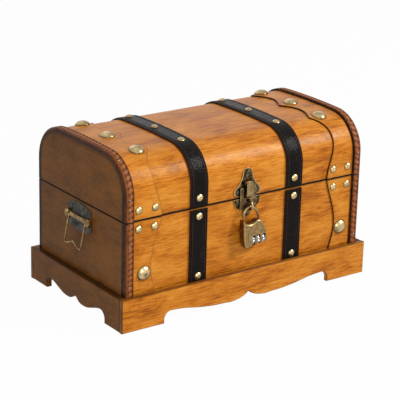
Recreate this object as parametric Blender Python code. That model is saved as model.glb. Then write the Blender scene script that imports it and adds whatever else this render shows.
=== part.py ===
"""A wooden treasure chest: a footed box with a domed lid, leather straps, brass nails, a hasp
with a small combination padlock, and a bail handle on each end.

Lengths are in metres. X runs along the chest, its front faces -Y and Z is up, with z = 0 on the
floor. Every mesh is built in the chest's own coordinates, centred on its plinth, and hangs from
an empty that stands on its joint's axis."""

import math

import bmesh
import bpy
from mathutils import Vector

# Fits and the sides of round pieces
GAP = 0.0003
OVERRUN = 0.002
PIVOT_SIZE = 0.02
BAR_SIDES = 12
WIRE_SIDES = 8
HOLE_SIDES = 10
SMOOTH_BELOW = math.radians(38)

# Carcass of the box
BODY_LENGTH = 0.364
BODY_DEPTH = 0.194
WALL_THICKNESS = 0.008
BASE_THICKNESS = 0.006
BOX_UNDERSIDE = 0.018
BOX_HEIGHT = 0.1184

# Plinth
PLINTH_HEIGHT = 0.043
PLINTH_SIDE_LEDGE = 0.0065
PLINTH_END_LEDGE = 0.008
FRONT_FOOT_LENGTH = 0.0617
END_FOOT_LENGTH = 0.0402
FOOT_ARC_RADIUS = 0.010
APRON_RISE = 0.0152
# Each pair is a share of the way from the middle to the foot's arc, and of the rise
FRONT_APRON_SHARES = (
    (0.828, 0.888),
    (0.647, 0.632),
    (0.465, 0.461),
    (0.313, 0.414),
    (0.220, 0.368),
    (0.110, 0.507),
    (0.030, 0.776),
    (0.0, 1.0),
)
END_APRON_SHARES = (
    (0.858, 0.888),
    (0.686, 0.658),
    (0.463, 0.395),
    (0.257, 0.362),
    (0.137, 0.493),
    (0.0, 0.888),
)

# Lid
RIM_GAP = 0.0012
LID_UPRIGHT = 0.0278
LID_CORNER_RADIUS = 0.0447
LID_CROWN_RADIUS = 1.2
LID_SKIN_THICKNESS = 0.004
RAIL_WIDTH = 0.010
RAIL_HEIGHT = 0.015
UPRIGHT_STEPS = 3
CORNER_STEPS = 8
CROWN_STEPS = 7

# Corner mouldings
STRIP_WIDTH = 0.012
STRIP_THICKNESS = 0.0047
STRIP_ROUNDING = 0.004
STRIP_ROUNDING_STEPS = 2

# Waved panels: widths at the points of the wave, and how deep it dips between them
OVERLAY_THICKNESS = 0.0017
LID_POINT_SHARES = (0.0, 0.597, 1.0)
PANEL_RIM_WIDTH = 0.042
LID_POINT_WIDTHS = (PANEL_RIM_WIDTH, 0.0455, 0.047)
LID_WAVE_DEPTHS = (0.014, 0.0118)
LID_WAVE_SKEWS = (1.5, 1.05)
BOX_FOOT_WIDTH = 0.0337
BOX_WAVE_DEPTH = 0.010
BOX_WAVE_SKEW = 1.3
BOX_WAVE_STEPS = 12

# Leather straps
STRAP_PLACE_SHARE = 0.404
STRAP_WIDTH = 0.026
STRAP_THICKNESS = 0.0023
STRAP_SETBACK = 0.002

# Nail heads
NAIL_RADIUS = 0.0050
NAIL_HEIGHT = 0.0027
NAIL_SIDES = 10
BIG_NAIL_RADIUS = 0.0098
BIG_NAIL_HEIGHT = 0.0052
BIG_NAIL_SIDES = 14
NAIL_SUNK = 0.0005
NAIL_OUTER_MARGIN = 0.0035
NAIL_INNER_MARGIN = 0.0030
NAIL_ABOVE_RIM = 0.0122
NAIL_BELOW_RIM = 0.0104
STRAP_NAIL_ABOVE_PLINTH = 0.005
BIG_NAIL_ABOVE_PLINTH = 0.0255
BIG_NAIL_BOX_WIDTH_SHARE = 0.393
# Each pair is a share of half the lid's girth, and of the panel's width there
BIG_NAIL_LID_SHARES = ((0.594, 0.36), (1.0, 0.4255))
STRAP_NAIL_SHARE = 0.617
# Each pair is a share of the head's radius, and of its height
NAIL_PROFILE_SHARES = ((1.0, 0.3), (0.74, 0.8), (0.3, 1.0))

# Hinges at the back
HINGE_WIDTH = 0.022
HINGE_LEAF_THICKNESS = 0.0012
HINGE_LEAF_HEIGHT = 0.018
HINGE_STANDOFF = 0.0065
HINGE_KNUCKLE_RADIUS = 0.003
HINGE_WEB_THICKNESS = 0.002
HINGE_PIN_RADIUS = 0.0012
HINGE_PLAY = 0.0004
HINGE_KNUCKLES = 3

# Latch plates
LATCH_PLATE_THICKNESS = 0.0012
UPPER_PLATE_HALF_WIDTH = 0.0205
UPPER_PLATE_HEIGHT = 0.0355
UPPER_PLATE_ABOVE_RIM = 0.0019
LOWER_PLATE_HALF_WIDTH = 0.021
LOWER_PLATE_HEIGHT = 0.0244
SCREW_HOLE_RADIUS = 0.0013
# Half width of the bell: shares of the plate's height and of its half width
UPPER_PLATE_SHARES = (
    (0.0, 0.74),
    (0.05, 0.92),
    (0.10, 0.98),
    (0.16, 1.0),
    (0.22, 0.98),
    (0.28, 0.92),
    (0.34, 0.81),
    (0.43, 0.66),
    (0.56, 0.51),
    (0.68, 0.42),
    (0.78, 0.37),
    (0.88, 0.335),
    (0.94, 0.28),
    (0.98, 0.17),
    (1.0, 0.05),
)
UPPER_HOLE_SHARES = ((0.73, 0.15), (-0.73, 0.15), (0.0, 0.822))
# Right-hand half of the lower plate, from its foot up: shares of the half width and of the height
LOWER_PLATE_SHARES = (
    (0.0, 0.0),
    (0.18, 0.03),
    (0.28, 0.13),
    (0.29, 0.26),
    (0.40, 0.39),
    (0.56, 0.46),
    (0.74, 0.49),
    (0.86, 0.60),
    (0.95, 0.80),
)
LOWER_HOLE_SHARES = ((0.667, 0.787), (-0.667, 0.787), (0.0, 0.135))

# Hasp: a cranked strap on a pin between the upper plate's lugs, ending in a fork
HASP_AXIS_ABOVE_RIM = 0.0189
HASP_PIN_RADIUS = 0.0010
HASP_PLAY = 0.0003
HASP_KNUCKLE_RADIUS = 0.0024
HASP_STRAP_WIDTH = 0.010
HASP_METAL = 0.0015
HASP_STANDOFF = 0.0060
HASP_BEND_ABOVE_RIM = 0.0024
LUG_THICKNESS = 0.0027
LUG_ROOT = 0.0005
FORK_CLEARANCE = 0.0008
FORK_HALF_WIDTH = 0.0125
FORK_SLOT_WIDTH = 0.006
FORK_BRIDGE_HEIGHT = 0.0019
FORK_REACH = 0.0161
FORK_EAR_WIDTH = 0.0053
FORK_EAR_HEIGHT = 0.0134
# Lower edge of a prong: shares of the half width and of the reach below the rim
FORK_TIP_SHARES = ((0.24, 0.534), (0.48, 0.596), (0.736, 0.801), (1.0, 1.0))

# Staple: a ring on the lower plate, in the plane across the chest
STAPLE_WIRE_RADIUS = 0.0013
STAPLE_RING_RADIUS = 0.0052
STAPLE_STANDOFF = 0.0059
STAPLE_BELOW_RIM = 0.0084

# Padlock
SHACKLE_WIRE_RADIUS = 0.0015
SHACKLE_HANG_ANGLE = math.radians(53)
SHACKLE_SHIFT = -0.0004
SHACKLE_LEFT_SPREAD = 0.0099
SHACKLE_LEFT_DROP = 0.0104
SHACKLE_RIGHT_DROP = 0.0205
LONG_LEG_DEPTH = 0.0086
SHORT_LEG_DEPTH = 0.0062
LOCK_PLAY = 0.00025
LOCK_SIDE_WALL = 0.00075
LOCK_HANG = 0.0173
LOCK_RIGHT_WALL = 0.0035
RIGHT_LEG_SHARE = 0.708
LOCK_HEIGHT = 0.0336
LOCK_THICKNESS = 0.0116
LOCK_BEVEL_DEPTH = 0.0028
LOCK_BEVEL_INSET = 0.0024
# Outline of the lock's body, from its lower left corner: shares of its width and height
LOCK_SHARES = (
    (0.073, 0.030),
    (0.370, 0.0),
    (0.970, 0.104),
    (1.0, 0.185),
    (0.984, 0.369),
    (0.932, 0.580),
    (0.854, 0.777),
    (0.776, 0.908),
    (0.730, 0.965),
    (0.654, 1.0),
    (0.559, 0.994),
    (0.457, 0.929),
    (0.340, 0.885),
    (0.227, 0.881),
    (0.122, 0.923),
    (0.060, 0.982),
    (0.0, 0.982),
)
DIAL_COUNT = 3
DIAL_RADIUS = 0.0063
DIAL_WIDTH = 0.0042
DIAL_PITCH = 0.0077
DIAL_START = 0.0157
DIAL_RISE = 0.0072
DIAL_GROOVES = 10
DIAL_GROOVE_DEPTH = 0.0003
SLOT_HEADROOM = 0.0009
SPINDLE_RADIUS = 0.0012
SPINDLE_PLAY = 0.0003
SPINDLE_GRIP = 0.0019

# End handles
HANDLE_DROP = 0.0214
HANDLE_AXIS_DROP = 0.0003
HANDLE_PLATE_THICKNESS = 0.0012
HANDLE_PLATE_HALF_WIDTH = 0.026
HANDLE_PLATE_SIDE_HALF = 0.013
HANDLE_PLATE_BULGE = 0.0056
HANDLE_ARCH_STEPS = 8
# Screw holes: shares of the plate's half width and of its half height
HANDLE_HOLE_SHARES = ((0.365, 0.66), (-0.365, 0.66), (0.365, -0.66), (-0.365, -0.66))
SADDLE_WEB_THICKNESS = 0.0012
SADDLE_WEB_HALF_HEIGHT = 0.00375
SADDLE_BOSS_WIDTH = 0.0064
SADDLE_BOSS_HALF_HEIGHT = 0.0058
SADDLE_BOSS_DEPTH = 0.0052
SADDLE_BAR_DEPTH = 0.0032
SADDLE_END_WALL = 0.001
BAIL_WIRE_RADIUS = 0.0011
BAIL_PLAY = 0.0003
BAIL_HALF_WIDTH = 0.019
BAIL_TURN_RADIUS = 0.0015
BAIL_CORNER_RADIUS = 0.003
BAIL_LENGTH = 0.0354
BAIL_TILT = math.radians(11.3)
BAIL_DIP = 0.0055
# Between a corner and the middle of the lower bar: shares of the half width and of the dip
BAIL_DIP_SHARES = ((0.55, 0.22), (0.30, 0.55), (0.12, 0.86), (0.0, 1.0))

# Sizes that follow from those above
HALF_LENGTH = BODY_LENGTH / 2
HALF_DEPTH = BODY_DEPTH / 2
BOX_TOP = BOX_UNDERSIDE + BOX_HEIGHT
LID_UNDERSIDE = BOX_TOP + RIM_GAP
RIM = BOX_TOP + RIM_GAP / 2
INNER_HALF_LENGTH = HALF_LENGTH - WALL_THICKNESS
INNER_HALF_DEPTH = HALF_DEPTH - WALL_THICKNESS
STRIP_LEVEL = GAP + STRIP_THICKNESS
OVERLAY_LEVEL = GAP + OVERLAY_THICKNESS
STRAP_LEVEL = GAP + STRAP_THICKNESS
PLINTH_HALF_LENGTH = HALF_LENGTH + PLINTH_END_LEDGE
PLINTH_HALF_DEPTH = HALF_DEPTH + STRIP_LEVEL + PLINTH_SIDE_LEDGE
SHOULDER = LID_UNDERSIDE + LID_UPRIGHT
CORNER_CENTRE = HALF_DEPTH - LID_CORNER_RADIUS
CROWN_ANGLE = math.asin(CORNER_CENTRE / (LID_CROWN_RADIUS - LID_CORNER_RADIUS))
CROWN_CENTRE = SHOULDER - (LID_CROWN_RADIUS - LID_CORNER_RADIUS) * math.cos(CROWN_ANGLE)
CORNER_ARC = LID_CORNER_RADIUS * (math.pi / 2 - CROWN_ANGLE)
CROWN_ARC = LID_CROWN_RADIUS * CROWN_ANGLE
HALF_GIRTH = LID_UPRIGHT + CORNER_ARC + CROWN_ARC
STRIP_INNER = HALF_LENGTH - STRIP_WIDTH
STRAP_X = HALF_LENGTH * STRAP_PLACE_SHARE
PLATE_FACE = HALF_DEPTH + GAP + LATCH_PLATE_THICKNESS
HINGE_AXIS = (HALF_DEPTH + HINGE_STANDOFF, RIM)
HASP_AXIS = (-(PLATE_FACE + GAP + HASP_KNUCKLE_RADIUS), LID_UNDERSIDE + HASP_AXIS_ABOVE_RIM)
STAPLE_CENTRE = (-(PLATE_FACE + STAPLE_STANDOFF), BOX_TOP - STAPLE_BELOW_RIM)
SHACKLE_HANG = STAPLE_RING_RADIUS - STAPLE_WIRE_RADIUS - SHACKLE_WIRE_RADIUS - GAP
SHACKLE_AXIS = (
    STAPLE_CENTRE[0] - SHACKLE_HANG * math.cos(SHACKLE_HANG_ANGLE),
    STAPLE_CENTRE[1] - SHACKLE_HANG * math.sin(SHACKLE_HANG_ANGLE),
)
LEFT_LEG = SHACKLE_SHIFT - SHACKLE_LEFT_SPREAD
LEG_BORE_RADIUS = SHACKLE_WIRE_RADIUS + LOCK_PLAY
LOCK_LEFT = LEFT_LEG - LEG_BORE_RADIUS - LOCK_SIDE_WALL
LAST_DIAL = DIAL_START + (DIAL_COUNT - 1) * DIAL_PITCH
LOCK_WIDTH = LAST_DIAL + DIAL_WIDTH / 2 + GAP + LOCK_RIGHT_WALL
RIGHT_LEG = LOCK_LEFT + LOCK_WIDTH * RIGHT_LEG_SHARE
LOCK_TOP = SHACKLE_AXIS[1] - LOCK_HANG
LOCK_BOTTOM = LOCK_TOP - LOCK_HEIGHT
DIAL_HEIGHT = LOCK_BOTTOM + DIAL_RISE
SADDLE_FACE = HALF_LENGTH + GAP + HANDLE_PLATE_THICKNESS + GAP
HANDLE_HEIGHT = BOX_TOP - HANDLE_DROP
HANDLE_AXIS_HEIGHT = HANDLE_HEIGHT - HANDLE_AXIS_DROP
BOSS_INNER = BAIL_HALF_WIDTH + BAIL_WIRE_RADIUS + GAP
SADDLE_HALF_WIDTH = BOSS_INNER + SADDLE_BOSS_WIDTH
BAIL_BORE_RADIUS = BAIL_WIRE_RADIUS + BAIL_PLAY
BAIL_AXIS_X = SADDLE_FACE + SADDLE_WEB_THICKNESS + BAIL_BORE_RADIUS
FRONT_REACH = max(PLINTH_HALF_DEPTH, DIAL_RADIUS - SHACKLE_AXIS[0])
Y_SHIFT = (FRONT_REACH - PLINTH_HALF_DEPTH) / 2

# Colour, roughness and metallic value of each finish
FINISHES = {
    "honey_wood": ((0.60, 0.27, 0.07), 0.35, 0.0),
    "brown_wood": ((0.33, 0.13, 0.045), 0.4, 0.0),
    "dark_wood": ((0.10, 0.04, 0.02), 0.45, 0.0),
    "black_leather": ((0.03, 0.028, 0.027), 0.45, 0.0),
    "antique_brass": ((0.46, 0.36, 0.20), 0.35, 1.0),
    "dark_bronze": ((0.16, 0.12, 0.08), 0.45, 1.0),
    "bright_brass": ((0.70, 0.55, 0.28), 0.3, 1.0),
    "chrome": ((0.75, 0.75, 0.76), 0.15, 1.0),
    "steel": ((0.45, 0.45, 0.45), 0.35, 1.0),
}


def clear_scene():
    for obj in list(bpy.data.objects):
        bpy.data.objects.remove(obj, do_unlink=True)


def place_of(pivot):
    """An empty's place in the chest's own coordinates: the root's shift isn't counted."""
    place = Vector()
    while pivot.parent is not None:
        place += pivot.location
        pivot = pivot.parent
    return place


def add_pivot(name, place=(0, 0, 0), carrier=None):
    pivot = bpy.data.objects.new(name, None)
    pivot.empty_display_size = PIVOT_SIZE
    bpy.context.scene.collection.objects.link(pivot)
    pivot.location = place
    if carrier is not None:
        pivot.parent = carrier
        pivot.location = Vector(place) - place_of(carrier)
    return pivot


def lofted_mesh(name, sections):
    """A closed mesh through a row of sections, which are rings with the same number of points."""
    work = bmesh.new()
    rings = [[work.verts.new(point) for point in section] for section in sections]
    for ring, after in zip(rings, rings[1:]):
        for index in range(len(ring)):
            beside = (index + 1) % len(ring)
            work.faces.new((ring[index], ring[beside], after[beside], after[index]))
    work.faces.new(rings[0])
    work.faces.new(rings[-1])
    bmesh.ops.recalc_face_normals(work, faces=work.faces)
    mesh = bpy.data.meshes.new(name)
    work.to_mesh(mesh)
    work.free()
    mesh.shade_smooth()
    mesh.set_sharp_from_angle(angle=SMOOTH_BELOW)
    return mesh


def hang(obj, pivot):
    """Parents an object that is built in the chest's coordinates, and keeps it in its place."""
    obj.parent = pivot
    obj.location = -place_of(pivot)


def finish_of(obj, finish):
    colour, roughness, metallic = FINISHES[finish]
    material = bpy.data.materials.new(obj.name + "_finish")
    material.use_nodes = True
    shader = material.node_tree.nodes["Principled BSDF"]
    shader.inputs["Base Color"].default_value = (*colour, 1)
    shader.inputs["Roughness"].default_value = roughness
    shader.inputs["Metallic"].default_value = metallic
    return material


def add_solid(name, sections, finish, pivot):
    obj = bpy.data.objects.new(name, lofted_mesh(name, sections))
    bpy.context.scene.collection.objects.link(obj)
    obj.data.materials.append(finish_of(obj, finish))
    hang(obj, pivot)
    return obj


def combine(obj, operation, shapes):
    """Joins or cuts an object with shapes, each given as its sections."""
    tools = bpy.data.collections.new(obj.name + "_" + operation.lower())
    bpy.context.scene.collection.children.link(tools)
    for number, sections in enumerate(shapes, 1):
        name = f"{tools.name}_{number}"
        tool = bpy.data.objects.new(name, lofted_mesh(name, sections))
        tool.hide_render = True
        tool.display_type = "WIRE"
        tools.objects.link(tool)
        hang(tool, obj.parent)
    modifier = obj.modifiers.new(tools.name, "BOOLEAN")
    modifier.operation = operation
    modifier.operand_type = "COLLECTION"
    modifier.collection = tools


def flat(across, outline, place):
    """An outline's points in the plane that stands at `place` on the axis `across`."""
    if across == "X":
        return [(place, first, second) for first, second in outline]
    if across == "Y":
        return [(first, place, second) for first, second in outline]
    return [(first, second, place) for first, second in outline]


def slab(across, outline, start, end):
    return [flat(across, outline, start), flat(across, outline, end)]


def block(low, high):
    outline = ((low[0], low[1]), (high[0], low[1]), (high[0], high[1]), (low[0], high[1]))
    return slab("Z", outline, low[2], high[2])


def arc(centre, radius, start, end, steps):
    """Points of an arc, between two angles that are counted from the first axis."""
    angles = [start + (end - start) * step / steps for step in range(steps + 1)]
    return [
        (centre[0] + radius * math.cos(angle), centre[1] + radius * math.sin(angle))
        for angle in angles
    ]


def ellipse_quarter(centre, radii, start, end, steps):
    angles = [start + (end - start) * step / steps for step in range(steps + 1)]
    return [
        (centre[0] + radii[0] * math.cos(angle), centre[1] + radii[1] * math.sin(angle))
        for angle in angles
    ]


def bar(across, centre, radius, start, end, sides=BAR_SIDES):
    full_turn = arc(centre, radius, 0, math.tau, sides)
    return slab(across, full_turn[:-1], start, end)


def smoothed(points, steps=2):
    """A smooth curve through the points, by Catmull and Rom's rule."""
    padded = [points[0], *points, points[-1]]
    curve = []
    for before, start, end, after in zip(padded, padded[1:], padded[2:], padded[3:]):
        for step in range(steps):
            share = step / steps
            weights = (
                (-share + 2 * share**2 - share**3) / 2,
                (2 - 5 * share**2 + 3 * share**3) / 2,
                (share + 4 * share**2 - 3 * share**3) / 2,
                (share**3 - share**2) / 2,
            )
            four = (before, start, end, after)
            curve.append(
                (
                    sum(weight * point[0] for weight, point in zip(weights, four)),
                    sum(weight * point[1] for weight, point in zip(weights, four)),
                )
            )
    return [*curve, points[-1]]


def mirrored(half):
    """A half outline that starts and ends on the middle line, closed with its mirror image."""
    return [*half, *[(-first, second) for first, second in reversed(half[1:-1])]]


def wire(path, plane_normal, radius, sides=WIRE_SIDES):
    """The sections of a round wire along a path that lies in one plane."""
    plane_normal = Vector(plane_normal)
    points = [Vector(point) for point in path]
    sections = []
    for index, point in enumerate(points):
        before = points[max(index - 1, 0)]
        after = points[min(index + 1, len(points) - 1)]
        beside = (after - before).normalized().cross(plane_normal)
        ring = arc((0, 0), radius, 0, math.tau, sides)[:-1]
        sections.append([point + plane_normal * first + beside * second for first, second in ring])
    return sections


def lid_spot(along, level):
    """(y, z) of a point `along` the lid's wooden face from its front lower edge, and raised
    from it by `level`: an upright, a corner arc, the crown's arc, and the same behind."""
    side = -1
    if along > HALF_GIRTH:
        side = 1
        along = 2 * HALF_GIRTH - along
    if along < LID_UPRIGHT:
        return side * (HALF_DEPTH + level), LID_UNDERSIDE + along
    along -= LID_UPRIGHT
    if along < CORNER_ARC:
        angle = along / LID_CORNER_RADIUS
        reach = LID_CORNER_RADIUS + level
        return side * (CORNER_CENTRE + reach * math.cos(angle)), SHOULDER + reach * math.sin(angle)
    angle = CROWN_ANGLE - (along - CORNER_ARC) / LID_CROWN_RADIUS
    reach = LID_CROWN_RADIUS + level
    return side * reach * math.sin(angle), CROWN_CENTRE + reach * math.cos(angle)


def wall_spot(side):
    """The same for the front or back wall of the box, where `along` is a height."""
    return lambda height, level: (side * (HALF_DEPTH + level), height)


def lid_stations():
    """Places along the lid's face, closer together where it bends."""
    ends = (0, LID_UPRIGHT, LID_UPRIGHT + CORNER_ARC, HALF_GIRTH)
    half = []
    for start, end, steps in zip(ends, ends[1:], (UPRIGHT_STEPS, CORNER_STEPS, CROWN_STEPS)):
        half += [start + (end - start) * step / steps for step in range(steps)]
    return [*half, HALF_GIRTH, *[2 * HALF_GIRTH - along for along in reversed(half)]]


def wrapped(stations, profile, spot):
    """Sections along a face: profile(station) gives pairs of x and level above the face."""
    return [
        [(x, *spot(station, level)) for x, level in profile(station)]
        for station in stations
    ]


def band(x_low, x_high, low_level, high_level):
    """The profile of a plain band of even width."""
    corners = ((x_low, low_level), (x_high, low_level), (x_high, high_level), (x_low, high_level))
    return lambda station: corners


def nail_head(x, station, spot, level, radius, height, sides):
    foot = Vector((x, *spot(station, level)))
    out = (Vector((x, *spot(station, level + height))) - foot).normalized()
    across = Vector((1, 0, 0))
    up = out.cross(across)
    rings = [(radius, -NAIL_SUNK)]
    rings += [(radius * wide, height * high) for wide, high in NAIL_PROFILE_SHARES]
    sections = []
    for ring_radius, rise in rings:
        circle = arc((0, 0), ring_radius, 0, math.tau, sides)[:-1]
        sections.append([foot + out * rise + across * first + up * second for first, second in circle])
    return sections


def small_nail(x, station, spot, level):
    return nail_head(x, station, spot, level, NAIL_RADIUS, NAIL_HEIGHT, NAIL_SIDES)


def big_nail(x, station, spot, level):
    return nail_head(x, station, spot, level, BIG_NAIL_RADIUS, BIG_NAIL_HEIGHT, BIG_NAIL_SIDES)


def dip(share, depth, skew):
    """How far the waved edge lies behind the line through its points, which is zero at both ends."""
    return depth * max(math.sin(math.pi * max(share, 0) ** skew), 0)


def lid_overlay_width(along):
    """The lid panel's width, which is the same in front and behind."""
    share = min(along, 2 * HALF_GIRTH - along) / HALF_GIRTH
    part = 0 if share < LID_POINT_SHARES[1] else 1
    start, end = LID_POINT_SHARES[part : part + 2]
    part_share = min((share - start) / (end - start), 1)
    straight = LID_POINT_WIDTHS[part] * (1 - part_share) + LID_POINT_WIDTHS[part + 1] * part_share
    return straight - dip(part_share, LID_WAVE_DEPTHS[part], LID_WAVE_SKEWS[part])


def box_overlay_width(height):
    share = min((BOX_TOP - height) / (BOX_TOP - PLINTH_HEIGHT), 1)
    straight = PANEL_RIM_WIDTH * (1 - share) + BOX_FOOT_WIDTH * share
    return straight - dip(share, BOX_WAVE_DEPTH, BOX_WAVE_SKEW)


def overlay_profile(side, width_at):
    def profile(station):
        outer = side * (STRIP_INNER - GAP)
        inner = side * (STRIP_INNER - width_at(station))
        return (
            (inner, GAP),
            (outer, GAP),
            (outer, OVERLAY_LEVEL),
            (inner, OVERLAY_LEVEL),
        )

    return profile


def strip_profile(side):
    """A moulding's section: a flat bar whose outer corner is rounded."""
    corner = (HALF_LENGTH - STRIP_ROUNDING, STRIP_LEVEL - STRIP_ROUNDING)
    rounding = arc(corner, STRIP_ROUNDING, 0, math.pi / 2, STRIP_ROUNDING_STEPS)
    points = [(STRIP_INNER, GAP), (HALF_LENGTH, GAP), *rounding, (STRIP_INNER, STRIP_LEVEL)]
    section = [(side * x, level) for x, level in points]
    return lambda station: section


def overlay_nails(side, station, spot, width_at):
    """The two small nails across a panel, near the rim."""
    outer = STRIP_INNER - NAIL_RADIUS - NAIL_OUTER_MARGIN
    inner = STRIP_INNER - width_at(station) + NAIL_RADIUS + NAIL_INNER_MARGIN
    return [small_nail(side * x, station, spot, OVERLAY_LEVEL) for x in (outer, inner)]


def make_plinth(chest):
    side_foot = PLINTH_HALF_LENGTH - FRONT_FOOT_LENGTH
    end_foot = PLINTH_HALF_DEPTH - END_FOOT_LENGTH
    side_inner = HALF_DEPTH + STRIP_LEVEL + GAP
    end_inner = HALF_LENGTH + GAP
    side_outline = board_outline(PLINTH_HALF_LENGTH, side_foot, FRONT_APRON_SHARES)
    end_outline = board_outline(side_inner - GAP, end_foot, END_APRON_SHARES)
    for name, side in (("plinth_front", -1), ("plinth_back", 1)):
        sections = slab("Y", side_outline, side * PLINTH_HALF_DEPTH, side * side_inner)
        add_solid(name, sections, "brown_wood", chest)
    for name, side in (("plinth_left_end", -1), ("plinth_right_end", 1)):
        sections = slab("X", end_outline, side * PLINTH_HALF_LENGTH, side * end_inner)
        add_solid(name, sections, "brown_wood", chest)


def board_outline(half_length, foot_edge, apron_shares):
    """A plinth board: feet at its ends, and between them an apron with a scrolled edge."""
    arc_end = foot_edge - FOOT_ARC_RADIUS
    centre = (arc_end, APRON_RISE - FOOT_ARC_RADIUS)
    foot_arc = arc(centre, FOOT_ARC_RADIUS, 0, math.pi / 2, 4)
    scroll = [(arc_end * along, APRON_RISE * rise) for along, rise in apron_shares]
    edge = smoothed([foot_arc[-1], *scroll])
    half = [(0, PLINTH_HEIGHT), (half_length, PLINTH_HEIGHT), (half_length, 0)]
    half += [(foot_edge, 0), *foot_arc[:-1], *edge]
    return mirrored(half)


def make_box(chest):
    side_half = INNER_HALF_LENGTH - GAP
    low = BOX_UNDERSIDE
    for name, side in (("box_front", -1), ("box_back", 1)):
        inner, outer = sorted((side * INNER_HALF_DEPTH, side * HALF_DEPTH))
        sections = block((-side_half, inner, low), (side_half, outer, BOX_TOP))
        add_solid(name, sections, "honey_wood", chest)
    for name, side in (("box_left_end", -1), ("box_right_end", 1)):
        inner, outer = sorted((side * INNER_HALF_LENGTH, side * HALF_LENGTH))
        sections = block((inner, -HALF_DEPTH, low), (outer, HALF_DEPTH, BOX_TOP))
        add_solid(name, sections, "brown_wood", chest)
    base_x = INNER_HALF_LENGTH - GAP
    base_y = INNER_HALF_DEPTH - GAP
    base = block((-base_x, -base_y, low), (base_x, base_y, low + BASE_THICKNESS))
    add_solid("base_panel", base, "brown_wood", chest)


def make_box_trim(chest):
    """Mouldings, waved panels and straps on the front and back of the box."""
    stations = (BOX_UNDERSIDE, BOX_TOP)
    waved = [BOX_UNDERSIDE]
    for step in range(BOX_WAVE_STEPS + 1):
        waved.append(PLINTH_HEIGHT + (BOX_TOP - PLINTH_HEIGHT) * step / BOX_WAVE_STEPS)
    for face, front in (("front", -1), ("back", 1)):
        spot = wall_spot(front)
        for hand, side in (("left", -1), ("right", 1)):
            strip = wrapped(stations, strip_profile(side), spot)
            add_solid(f"box_strip_{face}_{hand}", strip, "dark_wood", chest)
            sections = wrapped(waved, overlay_profile(side, box_overlay_width), spot)
            overlay = add_solid(f"box_overlay_{face}_{hand}", sections, "honey_wood", chest)
            combine(overlay, "UNION", box_overlay_nails(side, spot))
            make_box_strap(f"box_strap_{face}_{hand}", side * STRAP_X, spot, chest)


def box_overlay_nails(side, spot):
    nails = overlay_nails(side, BOX_TOP - NAIL_BELOW_RIM, spot, box_overlay_width)
    height = PLINTH_HEIGHT + BIG_NAIL_ABOVE_PLINTH
    width = box_overlay_width(height)
    x = STRIP_INNER - width + width * BIG_NAIL_BOX_WIDTH_SHARE
    return [*nails, big_nail(side * x, height, spot, OVERLAY_LEVEL)]


def make_box_strap(name, centre, spot, chest):
    stations = (BOX_UNDERSIDE, BOX_TOP - STRAP_SETBACK)
    profile = band(centre - STRAP_WIDTH / 2, centre + STRAP_WIDTH / 2, GAP, STRAP_LEVEL)
    strap = add_solid(name, wrapped(stations, profile, spot), "black_leather", chest)
    heights = (BOX_TOP - NAIL_BELOW_RIM, PLINTH_HEIGHT + STRAP_NAIL_ABOVE_PLINTH)
    combine(strap, "UNION", [small_nail(centre, height, spot, STRAP_LEVEL) for height in heights])


def make_lid(lid):
    stations = lid_stations()
    side_half = INNER_HALF_LENGTH - GAP
    skin = wrapped(stations, band(-side_half, side_half, -LID_SKIN_THICKNESS, 0), lid_spot)
    add_solid("lid_skin", skin, "honey_wood", lid)
    outline = [lid_spot(station, 0) for station in stations]
    for name, side in (("lid_left_end", -1), ("lid_right_end", 1)):
        sections = slab("X", outline, side * INNER_HALF_LENGTH, side * HALF_LENGTH)
        add_solid(name, sections, "brown_wood", lid)
    for name, side in (("lid_front_rail", -1), ("lid_back_rail", 1)):
        outer = HALF_DEPTH - LID_SKIN_THICKNESS - GAP
        near, far = sorted((side * (outer - RAIL_WIDTH), side * outer))
        top = LID_UNDERSIDE + RAIL_HEIGHT
        rail = block((-side_half, near, LID_UNDERSIDE), (side_half, far, top))
        add_solid(name, rail, "brown_wood", lid)


def make_lid_trim(lid):
    """Mouldings, waved panels and straps over the lid, from front to back."""
    stations = lid_stations()
    for hand, side in (("left", -1), ("right", 1)):
        strip = wrapped(stations, strip_profile(side), lid_spot)
        add_solid(f"lid_strip_{hand}", strip, "dark_wood", lid)
        sections = wrapped(stations, overlay_profile(side, lid_overlay_width), lid_spot)
        overlay = add_solid(f"lid_overlay_{hand}", sections, "honey_wood", lid)
        combine(overlay, "UNION", lid_overlay_nails(side))
        centre = side * STRAP_X
        profile = band(centre - STRAP_WIDTH / 2, centre + STRAP_WIDTH / 2, GAP, STRAP_LEVEL)
        name = f"lid_strap_{hand}"
        strap = add_solid(name, wrapped(stations, profile, lid_spot), "black_leather", lid)
        places = lid_nail_places((NAIL_ABOVE_RIM, HALF_GIRTH * STRAP_NAIL_SHARE, HALF_GIRTH))
        nails = [small_nail(centre, place, lid_spot, STRAP_LEVEL) for place in places]
        combine(strap, "UNION", nails)


def lid_nail_places(front_places):
    """Places along the lid's girth, with those before the crown repeated behind it."""
    behind = [2 * HALF_GIRTH - place for place in front_places if place < HALF_GIRTH]
    return [*front_places, *behind]


def lid_overlay_nails(side):
    nails = []
    for place in lid_nail_places((NAIL_ABOVE_RIM,)):
        nails += overlay_nails(side, place, lid_spot, lid_overlay_width)
    for girth_share, width_share in BIG_NAIL_LID_SHARES:
        for place in lid_nail_places((HALF_GIRTH * girth_share,)):
            width = lid_overlay_width(place)
            x = STRIP_INNER - width + width * width_share
            nails.append(big_nail(side * x, place, lid_spot, OVERLAY_LEVEL))
    return nails


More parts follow.
